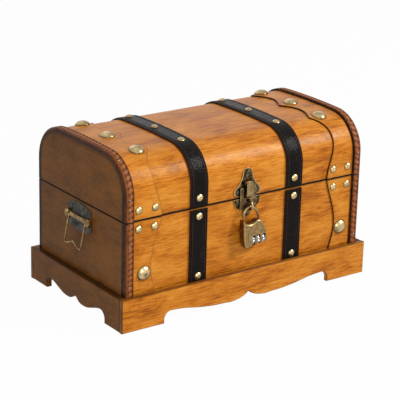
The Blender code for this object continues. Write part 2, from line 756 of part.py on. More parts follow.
def make_hinge(hand, side, chest, lid):
    """A butt hinge on the back: cranked knuckles carry its axis out past the mouldings."""
    strap_edge = STRAP_X + STRAP_WIDTH / 2
    centre = side * (strap_edge + STRIP_INNER - lid_overlay_width(0)) / 2
    knuckle = (HINGE_WIDTH - (HINGE_KNUCKLES - 1) * GAP) / HINGE_KNUCKLES
    starts = [centre - HINGE_WIDTH / 2 + number * (knuckle + GAP) for number in range(HINGE_KNUCKLES)]
    make_hinge_leaf(f"hinge_box_leaf_{hand}", centre, starts[::2], knuckle, -1, chest)
    make_hinge_leaf(f"hinge_lid_leaf_{hand}", centre, starts[1::2], knuckle, 1, lid)
    ends = (centre - HINGE_WIDTH / 2, centre + HINGE_WIDTH / 2)
    pin = bar("X", HINGE_AXIS, HINGE_PIN_RADIUS, *ends, HOLE_SIDES)
    add_solid(f"hinge_pin_{hand}", pin, "steel", chest)


def make_hinge_leaf(name, centre, starts, knuckle, way, pivot):
    """A leaf that stands up from the rim (way 1) or hangs down from it (way -1)."""
    rim = HINGE_AXIS[1] + way * (RIM_GAP / 2 + GAP)
    back = HALF_DEPTH + GAP
    low, high = sorted((rim, rim + way * HINGE_LEAF_HEIGHT))
    x_low = centre - HINGE_WIDTH / 2
    x_high = centre + HINGE_WIDTH / 2
    plate = block((x_low, back, low), (x_high, back + HINGE_LEAF_THICKNESS, high))
    leaf = add_solid(name, plate, "dark_bronze", pivot)
    web_low, web_high = sorted((rim, rim + way * HINGE_WEB_THICKNESS))
    shapes = []
    for start in starts:
        end = start + knuckle
        shapes.append(block((start, back, web_low), (end, HINGE_AXIS[0], web_high)))
        shapes.append(bar("X", HINGE_AXIS, HINGE_KNUCKLE_RADIUS, start, end))
    combine(leaf, "UNION", shapes)
    bore = HINGE_PIN_RADIUS + HINGE_PLAY
    cutter = bar("X", HINGE_AXIS, bore, x_low - OVERRUN, x_high + OVERRUN, HOLE_SIDES)
    combine(leaf, "DIFFERENCE", [cutter])


def plate_holes(shares, half_width, foot, height):
    """Cutters through a latch plate, at shares of its half width and height."""
    near = -(PLATE_FACE + OVERRUN)
    far = -(HALF_DEPTH - OVERRUN)
    return [
        bar("Y", (half_width * x, foot + height * z), SCREW_HOLE_RADIUS, near, far, HOLE_SIDES)
        for x, z in shares
    ]


def make_upper_plate(lid):
    """The bell-shaped plate on the lid, with two lugs for the hasp's pin."""
    foot = LID_UNDERSIDE + UPPER_PLATE_ABOVE_RIM
    level = GAP + LATCH_PLATE_THICKNESS
    sections = []
    for height_share, width_share in UPPER_PLATE_SHARES:
        half = UPPER_PLATE_HALF_WIDTH * width_share
        place = UPPER_PLATE_ABOVE_RIM + UPPER_PLATE_HEIGHT * height_share
        sections += wrapped((place,), band(-half, half, GAP, level), lid_spot)
    plate = add_solid("latch_upper_plate", sections, "dark_bronze", lid)
    combine(plate, "UNION", [lug_shape(side) for side in (-1, 1)])
    cutters = plate_holes(UPPER_HOLE_SHARES, UPPER_PLATE_HALF_WIDTH, foot, UPPER_PLATE_HEIGHT)
    reach = lug_outer() + OVERRUN
    cutters.append(bar("X", HASP_AXIS, HASP_PIN_RADIUS + HASP_PLAY, -reach, reach, HOLE_SIDES))
    combine(plate, "DIFFERENCE", cutters)


def lug_outer():
    return HASP_STRAP_WIDTH / 2 + GAP + LUG_THICKNESS


def lug_shape(side):
    """A lug from inside the plate out to the pin, with a round end."""
    y, z = HASP_AXIS
    root = -(PLATE_FACE - LUG_ROOT)
    nose = arc((y, z), HASP_KNUCKLE_RADIUS, -math.pi / 2, -3 * math.pi / 2, 6)
    outline = [(root, z - HASP_KNUCKLE_RADIUS), *nose, (root, z + HASP_KNUCKLE_RADIUS)]
    return slab("X", outline, side * (HASP_STRAP_WIDTH / 2 + GAP), side * lug_outer())


def make_lower_plate(chest):
    """The plate on the box that holds the staple, with a lobe below."""
    foot = BOX_TOP - LOWER_PLATE_HEIGHT
    half = [(LOWER_PLATE_HALF_WIDTH * x, foot + LOWER_PLATE_HEIGHT * z) for x, z in LOWER_PLATE_SHARES]
    half = [*smoothed(half), (LOWER_PLATE_HALF_WIDTH, BOX_TOP), (0, BOX_TOP)]
    sections = slab("Y", mirrored(half), -PLATE_FACE, -(HALF_DEPTH + GAP))
    plate = add_solid("latch_lower_plate", sections, "dark_bronze", chest)
    holes = plate_holes(LOWER_HOLE_SHARES, LOWER_PLATE_HALF_WIDTH, foot, LOWER_PLATE_HEIGHT)
    combine(plate, "DIFFERENCE", holes)


def make_staple(chest):
    """A wire that comes out of the plate, turns in a half ring and goes back below."""
    y, z = STAPLE_CENTRE
    radius = STAPLE_RING_RADIUS
    root = -(PLATE_FACE + GAP)
    turn = arc((y, z), radius, math.pi / 2, 3 * math.pi / 2, 10)
    path = flat("X", [(root, z + radius), *turn, (root, z - radius)], 0)
    add_solid("latch_staple", wire(path, (1, 0, 0), STAPLE_WIRE_RADIUS), "dark_bronze", chest)


def fork_outline(slot_top):
    """The hasp's fork from the front: two prongs, a bridge and two upright ears."""
    half = FORK_HALF_WIDTH
    bridge_top = slot_top + FORK_BRIDGE_HEIGHT
    ear_radius = FORK_EAR_WIDTH / 2
    ear_centre = (half - ear_radius, LID_UNDERSIDE + FORK_EAR_HEIGHT - ear_radius)
    ear = arc(ear_centre, ear_radius, 0, math.pi, 6)
    tips = [(half * x, LID_UNDERSIDE - FORK_REACH * z) for x, z in FORK_TIP_SHARES]
    tips[0] = (FORK_SLOT_WIDTH / 2, tips[0][1])
    right = [(0, slot_top), (FORK_SLOT_WIDTH / 2, slot_top), *tips, *ear]
    right += [(half - FORK_EAR_WIDTH, bridge_top), (0, bridge_top)]
    return mirrored(right)


def make_hasp(hasp):
    """A strap that hangs from its pin, stands off the plates and ends in a fork."""
    y, z = HASP_AXIS
    staple_far = math.dist(HASP_AXIS, STAPLE_CENTRE) - STAPLE_RING_RADIUS - STAPLE_WIRE_RADIUS
    slot_top = z - staple_far + FORK_CLEARANCE
    fork_back = -(PLATE_FACE + FORK_CLEARANCE)
    fork_front = fork_back - HASP_METAL
    fork = slab("Y", fork_outline(slot_top), fork_front, fork_back)
    obj = add_solid("latch_hasp", fork, "dark_bronze", hasp)
    front = -(PLATE_FACE + HASP_STANDOFF)
    bend = LID_UNDERSIDE + HASP_BEND_ABOVE_RIM
    bridge_top = slot_top + FORK_BRIDGE_HEIGHT
    middle = (fork_front + fork_back) / 2
    strap = [
        (y, z + HASP_METAL),
        (front, z + HASP_METAL),
        (front, bend),
        (fork_front, bridge_top - FORK_CLEARANCE),
        (middle, (bridge_top + slot_top) / 2),
        (middle, bridge_top - GAP),
        (front + HASP_METAL, bend + FORK_CLEARANCE),
        (front + HASP_METAL, z),
        (y, z),
    ]
    half = HASP_STRAP_WIDTH / 2
    knuckle = bar("X", HASP_AXIS, HASP_KNUCKLE_RADIUS, -half, half)
    combine(obj, "UNION", [slab("X", strap, -half, half), knuckle])
    bore = HASP_PIN_RADIUS + HASP_PLAY
    cutter = bar("X", HASP_AXIS, bore, -half - OVERRUN, half + OVERRUN, HOLE_SIDES)
    combine(obj, "DIFFERENCE", [cutter])


def make_latch_pin(lid):
    reach = lug_outer()
    pin = bar("X", HASP_AXIS, HASP_PIN_RADIUS, -reach, reach, HOLE_SIDES)
    add_solid("latch_pin", pin, "steel", lid)


def make_shackle(shackle):
    """A lopsided bow: a short turn to its long left leg and a long one to its right leg."""
    y, z = SHACKLE_AXIS
    left_centre = (SHACKLE_SHIFT, z - SHACKLE_LEFT_DROP)
    right_centre = (SHACKLE_SHIFT, z - SHACKLE_RIGHT_DROP)
    left_radii = (SHACKLE_LEFT_SPREAD, SHACKLE_LEFT_DROP)
    right_radii = (RIGHT_LEG - SHACKLE_SHIFT, SHACKLE_RIGHT_DROP)
    left = ellipse_quarter(left_centre, left_radii, math.pi, math.pi / 2, 7)
    right = ellipse_quarter(right_centre, right_radii, math.pi / 2, 0, 9)
    path = [(LEFT_LEG, LOCK_TOP - LONG_LEG_DEPTH), *left, *right[1:]]
    path.append((RIGHT_LEG, LOCK_TOP - SHORT_LEG_DEPTH))
    sections = wire(flat("Y", path, y), (0, 1, 0), SHACKLE_WIRE_RADIUS)
    add_solid("lock_shackle", sections, "antique_brass", shackle)


def shrunk(outline, inset):
    """An outline whose points are drawn in towards its middle."""
    middle = Vector((0, 0))
    for point in outline:
        middle += Vector(point) / len(outline)
    drawn = []
    for point in outline:
        inward = (middle - Vector(point)).normalized()
        drawn.append(tuple(Vector(point) + inward * inset))
    return drawn


def dial_centres():
    first = LOCK_LEFT + DIAL_START
    return [first + number * DIAL_PITCH for number in range(DIAL_COUNT)]


def make_lock_body(lock):
    """A bevelled casting with a bore for each leg, and a slot for each dial, open below."""
    y = SHACKLE_AXIS[0]
    outline = [(LOCK_LEFT + LOCK_WIDTH * x, LOCK_BOTTOM + LOCK_HEIGHT * z) for x, z in LOCK_SHARES]
    inner = shrunk(outline, LOCK_BEVEL_INSET)
    half = LOCK_THICKNESS / 2
    sections = [
        flat("Y", inner, y - half),
        flat("Y", outline, y - half + LOCK_BEVEL_DEPTH),
        flat("Y", outline, y + half - LOCK_BEVEL_DEPTH),
        flat("Y", inner, y + half),
    ]
    body = add_solid("lock_body", sections, "antique_brass", lock)
    top = LOCK_TOP + OVERRUN
    cutters = [
        bar("Z", (LEFT_LEG, y), LEG_BORE_RADIUS, LOCK_TOP - LONG_LEG_DEPTH - GAP, top, HOLE_SIDES),
        bar("Z", (RIGHT_LEG, y), LEG_BORE_RADIUS, LOCK_TOP - SHORT_LEG_DEPTH - GAP, top, HOLE_SIDES),
    ]
    slot_top = DIAL_HEIGHT + DIAL_RADIUS + SLOT_HEADROOM
    slot_half = DIAL_WIDTH / 2 + GAP
    for x in dial_centres():
        low = (x - slot_half, y - half - OVERRUN, LOCK_BOTTOM - OVERRUN)
        cutters.append(block(low, (x + slot_half, y + half + OVERRUN, slot_top)))
    ends = spindle_ends()
    bore = SPINDLE_RADIUS + SPINDLE_PLAY
    cutters.append(bar("X", (y, DIAL_HEIGHT), bore, ends[0] - GAP, ends[1] + GAP, HOLE_SIDES))
    combine(body, "DIFFERENCE", cutters)


def spindle_ends():
    centres = dial_centres()
    reach = DIAL_WIDTH / 2 + GAP + SPINDLE_GRIP
    return centres[0] - reach, centres[-1] + reach


def make_spindle(lock):
    pin = bar("X", (SHACKLE_AXIS[0], DIAL_HEIGHT), SPINDLE_RADIUS, *spindle_ends(), HOLE_SIDES)
    add_solid("lock_spindle", pin, "steel", lock)


def make_dial(number, centre, pivot):
    """A wheel with a groove beside each of its figures."""
    outline = []
    for step in range(2 * DIAL_GROOVES):
        radius = DIAL_RADIUS - DIAL_GROOVE_DEPTH * (step % 2)
        angle = math.pi * step / DIAL_GROOVES
        y = SHACKLE_AXIS[0] + radius * math.cos(angle)
        outline.append((y, DIAL_HEIGHT + radius * math.sin(angle)))
    ends = (centre - DIAL_WIDTH / 2, centre + DIAL_WIDTH / 2)
    dial = add_solid(f"lock_dial_{number}", slab("X", outline, *ends), "chrome", pivot)
    bore = SPINDLE_RADIUS + SPINDLE_PLAY
    low = ends[0] - OVERRUN
    cutter = bar("X", (SHACKLE_AXIS[0], DIAL_HEIGHT), bore, low, ends[1] + OVERRUN, HOLE_SIDES)
    combine(dial, "DIFFERENCE", [cutter])


def make_handle_plate(hand, side, chest):
    """A plate with straight sides, arched above and below."""
    radius = (HANDLE_PLATE_HALF_WIDTH**2 + HANDLE_PLATE_BULGE**2) / (2 * HANDLE_PLATE_BULGE)
    half_angle = math.asin(HANDLE_PLATE_HALF_WIDTH / radius)
    drop = radius - HANDLE_PLATE_BULGE - HANDLE_PLATE_SIDE_HALF
    start = math.pi / 2 - half_angle
    end = math.pi / 2 + half_angle
    upper = arc((0, HANDLE_HEIGHT - drop), radius, start, end, HANDLE_ARCH_STEPS)
    lower = [(y, 2 * HANDLE_HEIGHT - z) for y, z in reversed(upper)]
    near = side * (HALF_LENGTH + GAP)
    far = side * (HALF_LENGTH + GAP + HANDLE_PLATE_THICKNESS)
    sections = slab("X", [*upper, *lower], near, far)
    plate = add_solid(f"handle_plate_{hand}", sections, "dark_bronze", chest)
    half_height = HANDLE_PLATE_SIDE_HALF + HANDLE_PLATE_BULGE
    holes = []
    for along, up in HANDLE_HOLE_SHARES:
        centre = (HANDLE_PLATE_HALF_WIDTH * along, HANDLE_HEIGHT + half_height * up)
        cutter_near = near - side * OVERRUN
        cutter_far = far + side * OVERRUN
        holes.append(bar("X", centre, SCREW_HOLE_RADIUS, cutter_near, cutter_far, HOLE_SIDES))
    combine(plate, "DIFFERENCE", holes)


def upright_block(side, depth, y_low, y_high, half_height):
    """A block that stands out from the handle's plate by its depth."""
    near, far = sorted((side * SADDLE_FACE, side * (SADDLE_FACE + depth)))
    z = HANDLE_AXIS_HEIGHT
    return block((near, y_low, z - half_height), (far, y_high, z + half_height))


def make_saddle(hand, side, chest):
    """A web with a boss at each end for the bail's ends, and a thicker bar between its legs."""
    half = SADDLE_HALF_WIDTH
    web = upright_block(side, SADDLE_WEB_THICKNESS, -half, half, SADDLE_WEB_HALF_HEIGHT)
    saddle = add_solid(f"handle_saddle_{hand}", web, "bright_brass", chest)
    leg_inner = BAIL_HALF_WIDTH - BAIL_WIRE_RADIUS - GAP
    bar_shape = upright_block(side, SADDLE_BAR_DEPTH, -leg_inner, leg_inner, SADDLE_WEB_HALF_HEIGHT)
    shapes = [bar_shape]
    cutters = []
    centre = (side * BAIL_AXIS_X, HANDLE_AXIS_HEIGHT)
    for end in (-1, 1):
        low, high = sorted((end * BOSS_INNER, end * half))
        shapes.append(upright_block(side, SADDLE_BOSS_DEPTH, low, high, SADDLE_BOSS_HALF_HEIGHT))
        low, high = sorted((end * (BOSS_INNER - GAP), end * (half - SADDLE_END_WALL)))
        outline = arc(centre, BAIL_BORE_RADIUS, 0, math.tau, HOLE_SIDES)[:-1]
        cutters.append([[(x, y, z) for x, z in outline] for y in (low, high)])
    combine(saddle, "UNION", shapes)
    combine(saddle, "DIFFERENCE", cutters)


def bail_half_path():
    """Half of the bail in its own plane: (y, distance below its axis), from a boss inwards."""
    turn = BAIL_TURN_RADIUS
    half = BAIL_HALF_WIDTH
    corner = BAIL_CORNER_RADIUS
    end = SADDLE_HALF_WIDTH - SADDLE_END_WALL - GAP
    upper = arc((half + turn, turn), turn, -math.pi / 2, -math.pi, 3)
    lower = arc((half - corner, BAIL_LENGTH - corner), corner, 0, math.pi / 2, 4)
    dips = [(half * y, BAIL_LENGTH - BAIL_DIP * rise) for y, rise in BAIL_DIP_SHARES]
    return [(end, 0), *upper, *lower, *dips]


def make_bail(hand, side, pivot):
    """A wire handle that leans out from its bosses, with a raised point in its lower bar."""
    half = bail_half_path()
    outline = [*half, *[(-y, down) for y, down in reversed(half[:-1])]]
    lean = Vector((side * math.sin(BAIL_TILT), 0, -math.cos(BAIL_TILT)))
    start = Vector((side * BAIL_AXIS_X, 0, HANDLE_AXIS_HEIGHT))
    path = [start + Vector((0, y, 0)) + lean * down for y, down in outline]
    normal = lean.cross(Vector((0, 1, 0)))
    add_solid(f"handle_bail_{hand}", wire(path, normal, BAIL_WIRE_RADIUS), "bright_brass", pivot)


def main():
    clear_scene()
    chest = add_pivot("chest", (0, Y_SHIFT, 0))
    lid = add_pivot("lid_axis", (0, *HINGE_AXIS), chest)
    hasp = add_pivot("hasp_axis", (0, *HASP_AXIS), lid)
    shackle = add_pivot("shackle_axis", (0, *SHACKLE_AXIS), chest)
    lock = add_pivot("lock_seat", (0, SHACKLE_AXIS[0], LOCK_TOP), shackle)
    make_plinth(chest)
    make_box(chest)
    make_box_trim(chest)
    make_lid(lid)
    make_lid_trim(lid)
    make_upper_plate(lid)
    make_latch_pin(lid)
    make_hasp(hasp)
    make_lower_plate(chest)
    make_staple(chest)
    make_shackle(shackle)
    make_lock_body(lock)
    make_spindle(lock)
    for number, centre in enumerate(dial_centres(), 1):
        pivot = add_pivot(f"dial_axis_{number}", (centre, SHACKLE_AXIS[0], DIAL_HEIGHT), lock)
        make_dial(number, centre, pivot)
    for hand, side in (("left", -1), ("right", 1)):
        make_hinge(hand, side, chest, lid)
        make_handle_plate(hand, side, chest)
        make_saddle(hand, side, chest)
        place = (side * BAIL_AXIS_X, 0, HANDLE_AXIS_HEIGHT)
        make_bail(hand, side, add_pivot(f"bail_axis_{hand}", place, chest))


main()
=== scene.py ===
"""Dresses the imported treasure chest: stained wood, stitched leather, carved mouldings, nail heads,
and the latch, padlock and handles in old bronze.

Lengths are in metres. X runs along the chest, its front faces -Y and Z is up. Every shape is worked
out in the chest's own coordinates, centred on its plinth, and add_piece moves it into the frame's."""

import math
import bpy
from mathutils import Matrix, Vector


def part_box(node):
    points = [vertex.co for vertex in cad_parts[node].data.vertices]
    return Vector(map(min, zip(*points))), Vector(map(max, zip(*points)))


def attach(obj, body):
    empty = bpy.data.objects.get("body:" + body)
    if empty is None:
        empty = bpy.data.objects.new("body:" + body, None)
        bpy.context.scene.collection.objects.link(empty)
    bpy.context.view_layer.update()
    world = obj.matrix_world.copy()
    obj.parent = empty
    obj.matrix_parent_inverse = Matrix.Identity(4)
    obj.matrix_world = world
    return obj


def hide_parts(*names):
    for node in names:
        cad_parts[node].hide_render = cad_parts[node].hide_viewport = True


bl_info = {
    "name": "Treasure Chest Dressing",
    "version": (1, 0, 0),
    "blender": (4, 5, 0),
    "location": "View3D > Sidebar > Chest",
    "description": "Builds the visible surfaces of a wooden chest round its packed frame",
    "category": "Add Mesh",
}

import bmesh
import bpy
import numpy as np
from bpy.props import FloatProperty, FloatVectorProperty, PointerProperty
from mathutils import Matrix, Vector

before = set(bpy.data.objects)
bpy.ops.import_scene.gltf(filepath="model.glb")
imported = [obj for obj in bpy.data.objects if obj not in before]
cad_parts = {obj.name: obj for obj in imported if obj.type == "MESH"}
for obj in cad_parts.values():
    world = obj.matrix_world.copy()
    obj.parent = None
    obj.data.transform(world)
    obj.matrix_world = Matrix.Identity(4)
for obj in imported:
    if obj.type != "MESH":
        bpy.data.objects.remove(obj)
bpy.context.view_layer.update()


def middle_y():
    """Half way between the front and the back of the plinth, where the chest's own y is zero."""
    return (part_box("plinth_front")[0].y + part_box("plinth_back")[1].y) / 2


# Main sizes, taken from the frame
MIDDLE_Y = middle_y()
HALF_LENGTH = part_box("box_right_end")[1].x
HALF_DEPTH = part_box("box_back")[1].y - MIDDLE_Y
WALL = HALF_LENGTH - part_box("box_right_end")[0].x
BOX_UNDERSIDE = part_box("box_front")[0].z
BOX_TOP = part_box("box_front")[1].z
LID_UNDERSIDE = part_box("lid_left_end")[0].z
RIM = (BOX_TOP + LID_UNDERSIDE) / 2
PLINTH_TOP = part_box("plinth_front")[1].z
PLINTH_HALF_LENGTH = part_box("plinth_front")[1].x
PLINTH_HALF_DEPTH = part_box("plinth_back")[1].y - MIDDLE_Y
PLINTH_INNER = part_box("plinth_back")[0].y - MIDDLE_Y
PLINTH_END_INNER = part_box("plinth_right_end")[0].x
SEAT = 0.0003
HANDS = (("left", -1), ("right", 1))

# The lid's face: an upright, a corner's arc and a flatter crown
LID_UPRIGHT = 0.0278
LID_CORNER_RADIUS = 0.0447
LID_CROWN_RADIUS = 1.2
LID_SKIN = 0.004
SHOULDER = LID_UNDERSIDE + LID_UPRIGHT
CORNER_CENTRE = HALF_DEPTH - LID_CORNER_RADIUS
CROWN_ANGLE = math.asin(CORNER_CENTRE / (LID_CROWN_RADIUS - LID_CORNER_RADIUS))
CROWN_CENTRE = SHOULDER - (LID_CROWN_RADIUS - LID_CORNER_RADIUS) * math.cos(CROWN_ANGLE)
CORNER_ARC = LID_CORNER_RADIUS * (math.pi / 2 - CROWN_ANGLE)
HALF_GIRTH = LID_UPRIGHT + CORNER_ARC + LID_CROWN_RADIUS * CROWN_ANGLE

# Trim on the faces
STRIP_WIDTH = 0.012
STRIP_INNER = HALF_LENGTH - STRIP_WIDTH
STRIP_THICKNESS = 0.0047
STRIP_TOP = SEAT + STRIP_THICKNESS
STRIP_ROUNDING = 0.004
PANEL_THICKNESS = 0.0017
PANEL_TOP = SEAT + PANEL_THICKNESS
STRAP_THICKNESS = 0.0023
STRAP_TOP = SEAT + STRAP_THICKNESS
STRAP_PLACE_SHARE = 0.404
STRAP_X = HALF_LENGTH * STRAP_PLACE_SHARE
STRAP_HALF_WIDTH = 0.013
STRAP_SETBACK = 0.002
STRAP_EASING_SHARE = 1.4
LID_POINT_SHARES = (0.0, 0.597, 1.0)
LID_POINT_WIDTHS = (0.042, 0.0455, 0.047)
LID_WAVE_DEPTHS = (0.014, 0.0118)
LID_WAVE_SKEWS = (1.5, 1.05)
BOX_POINT_WIDTHS = (0.042, 0.0337)
BOX_WAVE_DEPTH = 0.010
BOX_WAVE_SKEW = 1.3

# Carving of the mouldings: places and widths are shares of the moulding's width, a bead's half
# length is one of the pitch, and the eased edge turns by an angle
BEAD_SLANT = 0.35
BEAD_PITCH_SHARE = 0.48
BEAD_MIDDLE_SHARE = 0.39
BEAD_HALF_SHARE = 0.31
BAND_STEEPNESS = 6
CARVED_LINE_SHARES = (0.07, 0.70)
CARVED_LINE_WIDTH_SHARE = 0.03
CARVED_LINE_DEPTH_SHARE = 0.6
STRIP_EASED_TURN = 1.2
RIDGE_SHARE = 0.38
RIDGE_WIDTH_SHARE = 0.2

# Creases and stitches of the straps
CREASE_WIDTH = 0.00035
SEAM_WIDTH = 0.0008
SEAM_DEPTH_SHARE = 0.35
SIDE_FALL_SHARE = 0.6
STITCH_SLANT = 0.12
STITCH_LIFT_SHARE = 0.7
STITCH_DIP_SHARE = 1.5
STITCH_SUNK_SHARE = 0.6

# Nail heads
NAIL_RADIUS = 0.0050
NAIL_HEIGHT = 0.0027
BIG_NAIL_RADIUS = 0.0098
BIG_NAIL_HEIGHT = 0.0052
NAIL_ABOVE_RIM = 0.0122
NAIL_BELOW_RIM = 0.0104
NAIL_OUTER_MARGIN = 0.0035
NAIL_INNER_MARGIN = 0.0030
STRAP_NAIL_ABOVE_PLINTH = 0.005
BIG_NAIL_ABOVE_PLINTH = 0.0255
BIG_NAIL_BOX_SHARE = 0.393
BIG_NAIL_LID_SHARES = ((0.594, 0.36), (1.0, 0.4255))
STRAP_NAIL_SHARE = 0.617
# Pairs of shares of the head's radius and height, from its rim to its top
SMALL_HEAD_SHARES = (
    (0.93, -0.1), (1.0, 0.02), (1.0, 0.16), (0.96, 0.26), (0.88, 0.42), (0.74, 0.64), (0.56, 0.83),
    (0.38, 0.95), (0.24, 0.99), (0.16, 0.97), (0.10, 0.86), (0.04, 0.80),
)
BIG_HEAD_SHARES = (
    (0.95, -0.06), (1.0, 0.01), (1.0, 0.08), (0.97, 0.17), (0.91, 0.33), (0.81, 0.52), (0.68, 0.70),
    (0.52, 0.85), (0.35, 0.94), (0.18, 0.985), (0.04, 1.0),
)

# Pins and screws: a pin's head is a small nail head without its dimple
PIN_HEAD_SHARES = SMALL_HEAD_SHARES[:-3]
PLINTH_PIN_RISE_SHARE = 0.5
PLINTH_PIN_MARGIN = 0.003
PLINTH_PIN_HEIGHTS = (0.0115, 0.0325)
MOULDING_PIN_RISE_SHARE = 0.6
MOULDING_PIN_SHARE = 0.52
LID_PIN_PLACES = (0.0160, 0.0280)
LID_CROWN_PIN = 0.075
BOX_PIN_HEIGHTS = (0.055, 0.106)
SCREW_HEAD_SHARES = (
    (0.9, -0.3), (1.0, 0.0), (1.0, 0.35), (0.9, 0.65), (0.7, 0.88), (0.4, 0.98), (0.05, 1.0),
)
SLOT_LENGTH_SHARE = 1.3
SLOT_FLOOR_SHARE = 0.35
SLOT_TOP_SHARE = 1.5
HINGE_SCREW_RISE_SHARE = 0.35
HINGE_SCREW_SPREAD_SHARE = 0.28
HINGE_SCREW_TURNS = (0.7, 2.1)

# Plinth boards
FRONT_FOOT_WIDTH = 0.0617
END_FOOT_WIDTH = 0.0402
FRONT_FOOT_EDGE = PLINTH_HALF_LENGTH - FRONT_FOOT_WIDTH
END_FOOT_EDGE = PLINTH_HALF_DEPTH - END_FOOT_WIDTH
FOOT_ARC_RADIUS = 0.010
APRON_RISE = 0.0152
FRONT_APRON_SHARES = (
    (0.828, 0.888), (0.647, 0.632), (0.465, 0.461), (0.313, 0.414), (0.220, 0.368), (0.110, 0.507),
    (0.030, 0.776), (0.0, 1.0),
)
END_APRON_SHARES = (
    (0.858, 0.888), (0.686, 0.658), (0.463, 0.395), (0.257, 0.362), (0.137, 0.493), (0.0, 0.888),
)

# Latch. A screw's place is given by two shares of its plate and the turn of its slot
PLATE_THICKNESS = 0.0012
PLATE_TOP = SEAT + PLATE_THICKNESS
PLATE_FACE = HALF_DEPTH + PLATE_TOP
PLATE_EASING_SHARE = 1.6
UPPER_PLATE_HALF = 0.0205
UPPER_PLATE_HEIGHT = 0.0355
UPPER_PLATE_START = 0.0019
UPPER_PLATE_SHARES = (
    (0.0, 0.70), (0.03, 0.86), (0.07, 0.95), (0.11, 0.985), (0.16, 1.0), (0.22, 0.98), (0.28, 0.92),
    (0.34, 0.81), (0.43, 0.66), (0.56, 0.51), (0.68, 0.42), (0.78, 0.37), (0.88, 0.335),
    (0.93, 0.29), (0.97, 0.20), (0.99, 0.12), (1.0, 0.03),
)
UPPER_PLATE_NOSE_SHARE = 0.3
UPPER_SCREW_SHARES = ((0.73, 0.15, 0.5), (-0.73, 0.15, 2.2), (0.0, 0.822, 1.2))
LOWER_PLATE_HALF = 0.021
LOWER_PLATE_HEIGHT = 0.0244
LOWER_PLATE_SHARES = (
    (0.0, 0.0), (0.18, 0.03), (0.28, 0.13), (0.29, 0.26), (0.40, 0.39), (0.56, 0.46), (0.74, 0.49),
    (0.86, 0.60), (0.95, 0.80),
)
LOWER_SCREW_SHARES = ((0.667, 0.787, 2.6), (-0.667, 0.787, 0.9), (0.0, 0.135, 0.2))
HASP_KNUCKLE = 0.0024
HASP_HALF_WIDTH = 0.005
HASP_METAL = 0.0015
HASP_STANDOFF = 0.0060
HASP_BEND = 0.0024
HASP_Y = -(PLATE_FACE + SEAT + HASP_KNUCKLE)
HASP_ABOVE_LID_UNDERSIDE = 0.0189
HASP_Z = LID_UNDERSIDE + HASP_ABOVE_LID_UNDERSIDE
LUG_THICKNESS = 0.0027
LUG_ROOT = 0.0005
FORK_CLEARANCE = 0.0008
FORK_HALF = 0.0125
FORK_SLOT = 0.006
FORK_BRIDGE = 0.0019
FORK_REACH = 0.0161
FORK_EAR_WIDTH = 0.0053
FORK_EAR_HEIGHT = 0.0134
FORK_TIP_SHARES = ((0.24, 0.534), (0.48, 0.596), (0.736, 0.801), (1.0, 1.0))
STAPLE_WIRE = 0.0013
STAPLE_RING = 0.0052
STAPLE_STANDOFF = 0.0059
STAPLE_BELOW_RIM = 0.0084
STAPLE_Y = -(PLATE_FACE + STAPLE_STANDOFF)
STAPLE_Z = BOX_TOP - STAPLE_BELOW_RIM

# Padlock
SHACKLE_WIRE = 0.0015
SHACKLE_HANG = STAPLE_RING - STAPLE_WIRE - SHACKLE_WIRE - SEAT
SHACKLE_ANGLE = math.radians(53)
SHACKLE_Y = STAPLE_Y - SHACKLE_HANG * math.cos(SHACKLE_ANGLE)
SHACKLE_Z = STAPLE_Z - SHACKLE_HANG * math.sin(SHACKLE_ANGLE)
SHACKLE_SHIFT = -0.0004
SHACKLE_LEFT_DROP = 0.0104
SHACKLE_RIGHT_DROP = 0.0205
LEFT_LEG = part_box("lock_shackle")[0].x + SHACKLE_WIRE
RIGHT_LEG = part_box("lock_shackle")[1].x - SHACKLE_WIRE
LOCK_LOW, LOCK_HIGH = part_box("lock_body")
LOCK_LEG_DEPTH = 0.006
LOCK_ROUNDING = 0.0024
LOCK_GROOVE_SHARE = 0.175
LOCK_GROOVE_WIDTH = 0.0006
LOCK_GROOVE_DEPTH = 0.0005
LOCK_GROOVE_RISE_SHARES = (0.06, 0.60)
DIAL_SLOT_PLAY = 0.0003
SLOT_HEADROOM = 0.0009
DIAL_FIGURES = 10
DIAL_GROOVE_DEPTH = 0.0005
DIAL_GROOVE_SHARE = 0.10
DIAL_PLAY = 0.0001
FIGURE_SUNK = 0.00008
FIGURE_SIZE_SHARE = 0.7
LOCK_SHARES = (
    (0.073, 0.030), (0.370, 0.0), (0.970, 0.104), (1.0, 0.185), (0.984, 0.369), (0.932, 0.580),
    (0.854, 0.777), (0.776, 0.908), (0.730, 0.965), (0.654, 1.0), (0.559, 0.994), (0.457, 0.929),
    (0.340, 0.885), (0.227, 0.881), (0.122, 0.923), (0.060, 0.982), (0.0, 0.982),
)

# End handles
HANDLE_AXIS_X = 0.1864
HANDLE_BELOW_RIM = 0.0214
HANDLE_Z = BOX_TOP - HANDLE_BELOW_RIM
HANDLE_AXIS_Z = HANDLE_Z - SEAT
HANDLE_HALF = 0.026
HANDLE_SIDE_HALF = 0.013
HANDLE_BULGE = 0.0056
HANDLE_SCREW_SHARES = (
    (0.365, 0.66, 0.4), (-0.365, 0.66, 1.9), (0.365, -0.66, 1.1), (-0.365, -0.66, 2.7),
)
SADDLE_FACE = HALF_LENGTH + PLATE_TOP + SEAT
SADDLE_WEB = 0.0012
SADDLE_WEB_HALF_HEIGHT = 0.00375
SADDLE_BAR_DEPTH = 0.0032
SADDLE_BOSS_DEPTH = 0.0052
SADDLE_BOSS_HALF_HEIGHT = 0.0058
SADDLE_BOSS_WIDTH = 0.0064
SADDLE_WAIST_SHARES = (0.86, 0.78)
SADDLE_NECK_SHARE = 0.9
SADDLE_END_SHARE = 0.12
SADDLE_ROUNDNESS = (0.6, 0.65)
BAIL_WIRE = 0.0011
BAIL_HALF = 0.019
BAIL_LENGTH = 0.0354
BAIL_TURN = 0.0015
BAIL_CORNER = 0.003
BAIL_TILT = math.radians(11.3)
